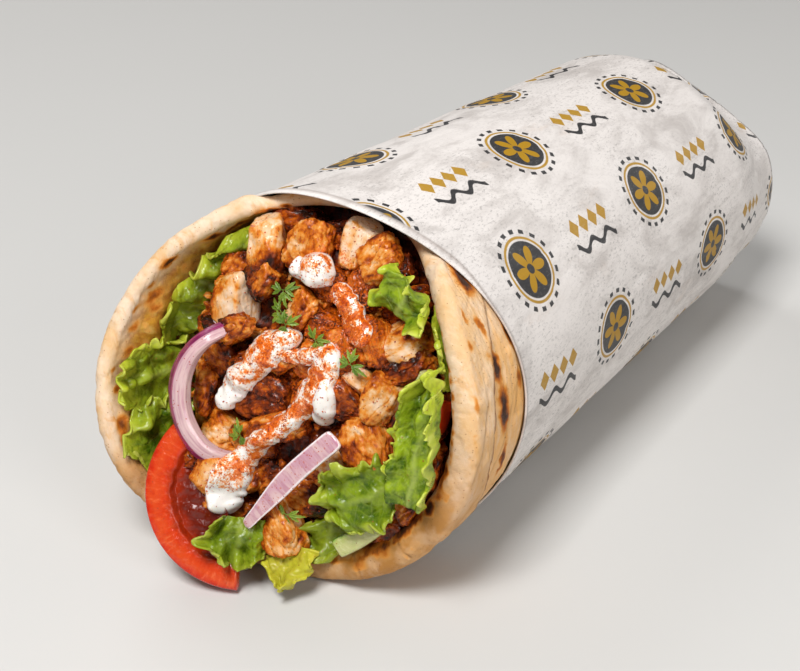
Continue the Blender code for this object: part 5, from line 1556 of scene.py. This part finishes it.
def make_dust(sources, finish):
    """Paprika grains: tiny lumps on the outward sides of the sauce and chicken, as one piece."""
    random = np.random.default_rng(9)
    cube, quads = cube_skin(1)
    places = []
    for piece, share, fact in sources:
        mesh = piece.data
        points = read(mesh.vertices, "co", 3) / MM + np.array((*MIDDLE, 0.0))
        normals = read(mesh.vertex_normals, "vector", 3)
        weight = np.clip(normals @ MOUTH[2], 0.0, 1.0)
        if fact:
            weight = weight * np.clip(read(mesh.attributes[fact].data, "value") + 0.1, 0.0, 1.0)
        chosen = random.uniform(0.0, 1.0, len(points)) < weight * share
        places.append(points[chosen] + normals[chosen] * 0.06)
    place = np.concatenate(places)
    size = random.uniform(0.06, 0.17, (len(place), 1, 3))
    spin = unit(random.normal(size=(len(place), 3, 3)))
    points = place[:, None] + (cube[None] * size) @ spin
    faces = repeated(quads, len(cube), len(place))
    return keep(build("paprika_grains", points, [faces], finish), None)


# ---------------------------------------------------------------- studio

def aim(thing, place, target):
    """Put a light or the camera at the place, turned towards the target."""
    thing.location = place
    thing.rotation_euler = (Vector(target) - Vector(place)).to_track_quat("-Z", "Y").to_euler()
    bpy.context.scene.collection.objects.link(thing)


def make_studio():
    """A pale floor, soft lights and the camera at the photograph's angle."""
    bpy.ops.mesh.primitive_plane_add(size=FLOOR_SIZE, location=(0.0, 0.0, 0.0))
    floor = bpy.context.object
    floor.name = "studio_floor"
    finish = Finish("studio_floor", Roughness=0.7, Specular_IOR_Level=0.2)
    pale = finish.cover((0.60, 0.59, 0.57), (finish.noise(400.0), (0.64, 0.63, 0.61)))
    floor.data.materials.append(finish.done(pale))
    world = bpy.data.worlds.new("studio")
    bpy.context.scene.world = world
    world.use_nodes = True
    background = world.node_tree.nodes["Background"].inputs
    background["Color"].default_value = (1.0, 0.97, 0.94, 1.0)
    background["Strength"].default_value = 0.11
    for name, (place, size, power) in LIGHTS.items():
        light = bpy.data.lights.new(name, "AREA")
        light.size, light.energy = size, power
        aim(bpy.data.objects.new(name, light), place, LIGHT_TARGET)
    camera = bpy.data.objects.new("camera", bpy.data.cameras.new("camera"))
    aim(camera, to_frame(CAMERA_PLACE), to_frame(CAMERA_TARGET))
    camera.data.lens, camera.data.sensor_width = LENS, SENSOR
    camera.data.shift_x = (PICTURE[0] / 2 - TARGET_PIXEL[0]) / PICTURE[0]
    camera.data.shift_y = (TARGET_PIXEL[1] - PICTURE[1] / 2) / PICTURE[0]
    camera.data.clip_start, camera.data.clip_end = 0.01, 20.0
    bpy.context.scene.camera = camera
    bpy.context.scene.view_settings.view_transform = "Standard"


def make_heap(meat, sauce, herb):
    """The chunks, shreds and crumbs of chicken, the sauce over them and the parsley on top.  Gives
    each piece that paprika falls on, with how thickly and the fact that says where, if any."""
    shapes = {name: shape_chunk(place, number) for number, (name, place) in enumerate(CHUNKS.items())}
    clouds = [points for points, _, _ in shapes.values()]
    heap = heap_relief(clouds)
    chunks = [make_chunk(name, chunk, meat) for name, chunk in shapes.items()]
    make_shreds("shreds", 46, (2.6, 5.0), (-8.0, -5.4), 9, 5, meat)
    make_shreds("crumbs", 110, (0.8, 1.9), (-6.0, -3.0), 4, 6, meat)
    pours = {name: shape_sauce(name, place, heap) for name, place in SAUCE_RUNS.items()}
    runs = [make_sauce(name, shape, sauce) for name, shape in pours.items()]
    covered = heap_relief(clouds + [rings.reshape(-1, 3) for rings, _ in pours.values()])
    for number, (u, v) in enumerate(SPRIGS):
        make_sprig(number, (u, v, heap_height(covered, np.array((u, v))) + 0.5), herb)
    return [(run, 0.05, "dust") for run in runs] + [(chunk, 0.012, None) for chunk in chunks]


def main():
    """The whole sandwich and its studio."""
    make_bread(flatbread())
    make_sleeve(sleeve_paper())
    meat = chicken()
    make_core(meat)
    dusted = make_heap(meat, garlic_sauce(), parsley_green())
    green = lettuce_green()
    for number, (name, leaf) in enumerate(LEAVES.items()):
        make_leaf(name, leaf, number, green)
    cuts = {"tomato": tomato_red(), "onion": red_onion(), "cucumber": cucumber_green()}
    make_tomato(cuts["tomato"])
    make_onion_ring(cuts["onion"])
    for name, stick in STICKS.items():
        make_stick(name, stick, cuts[stick[-1]])
    make_dust(dusted, paprika())
    make_studio()


main()
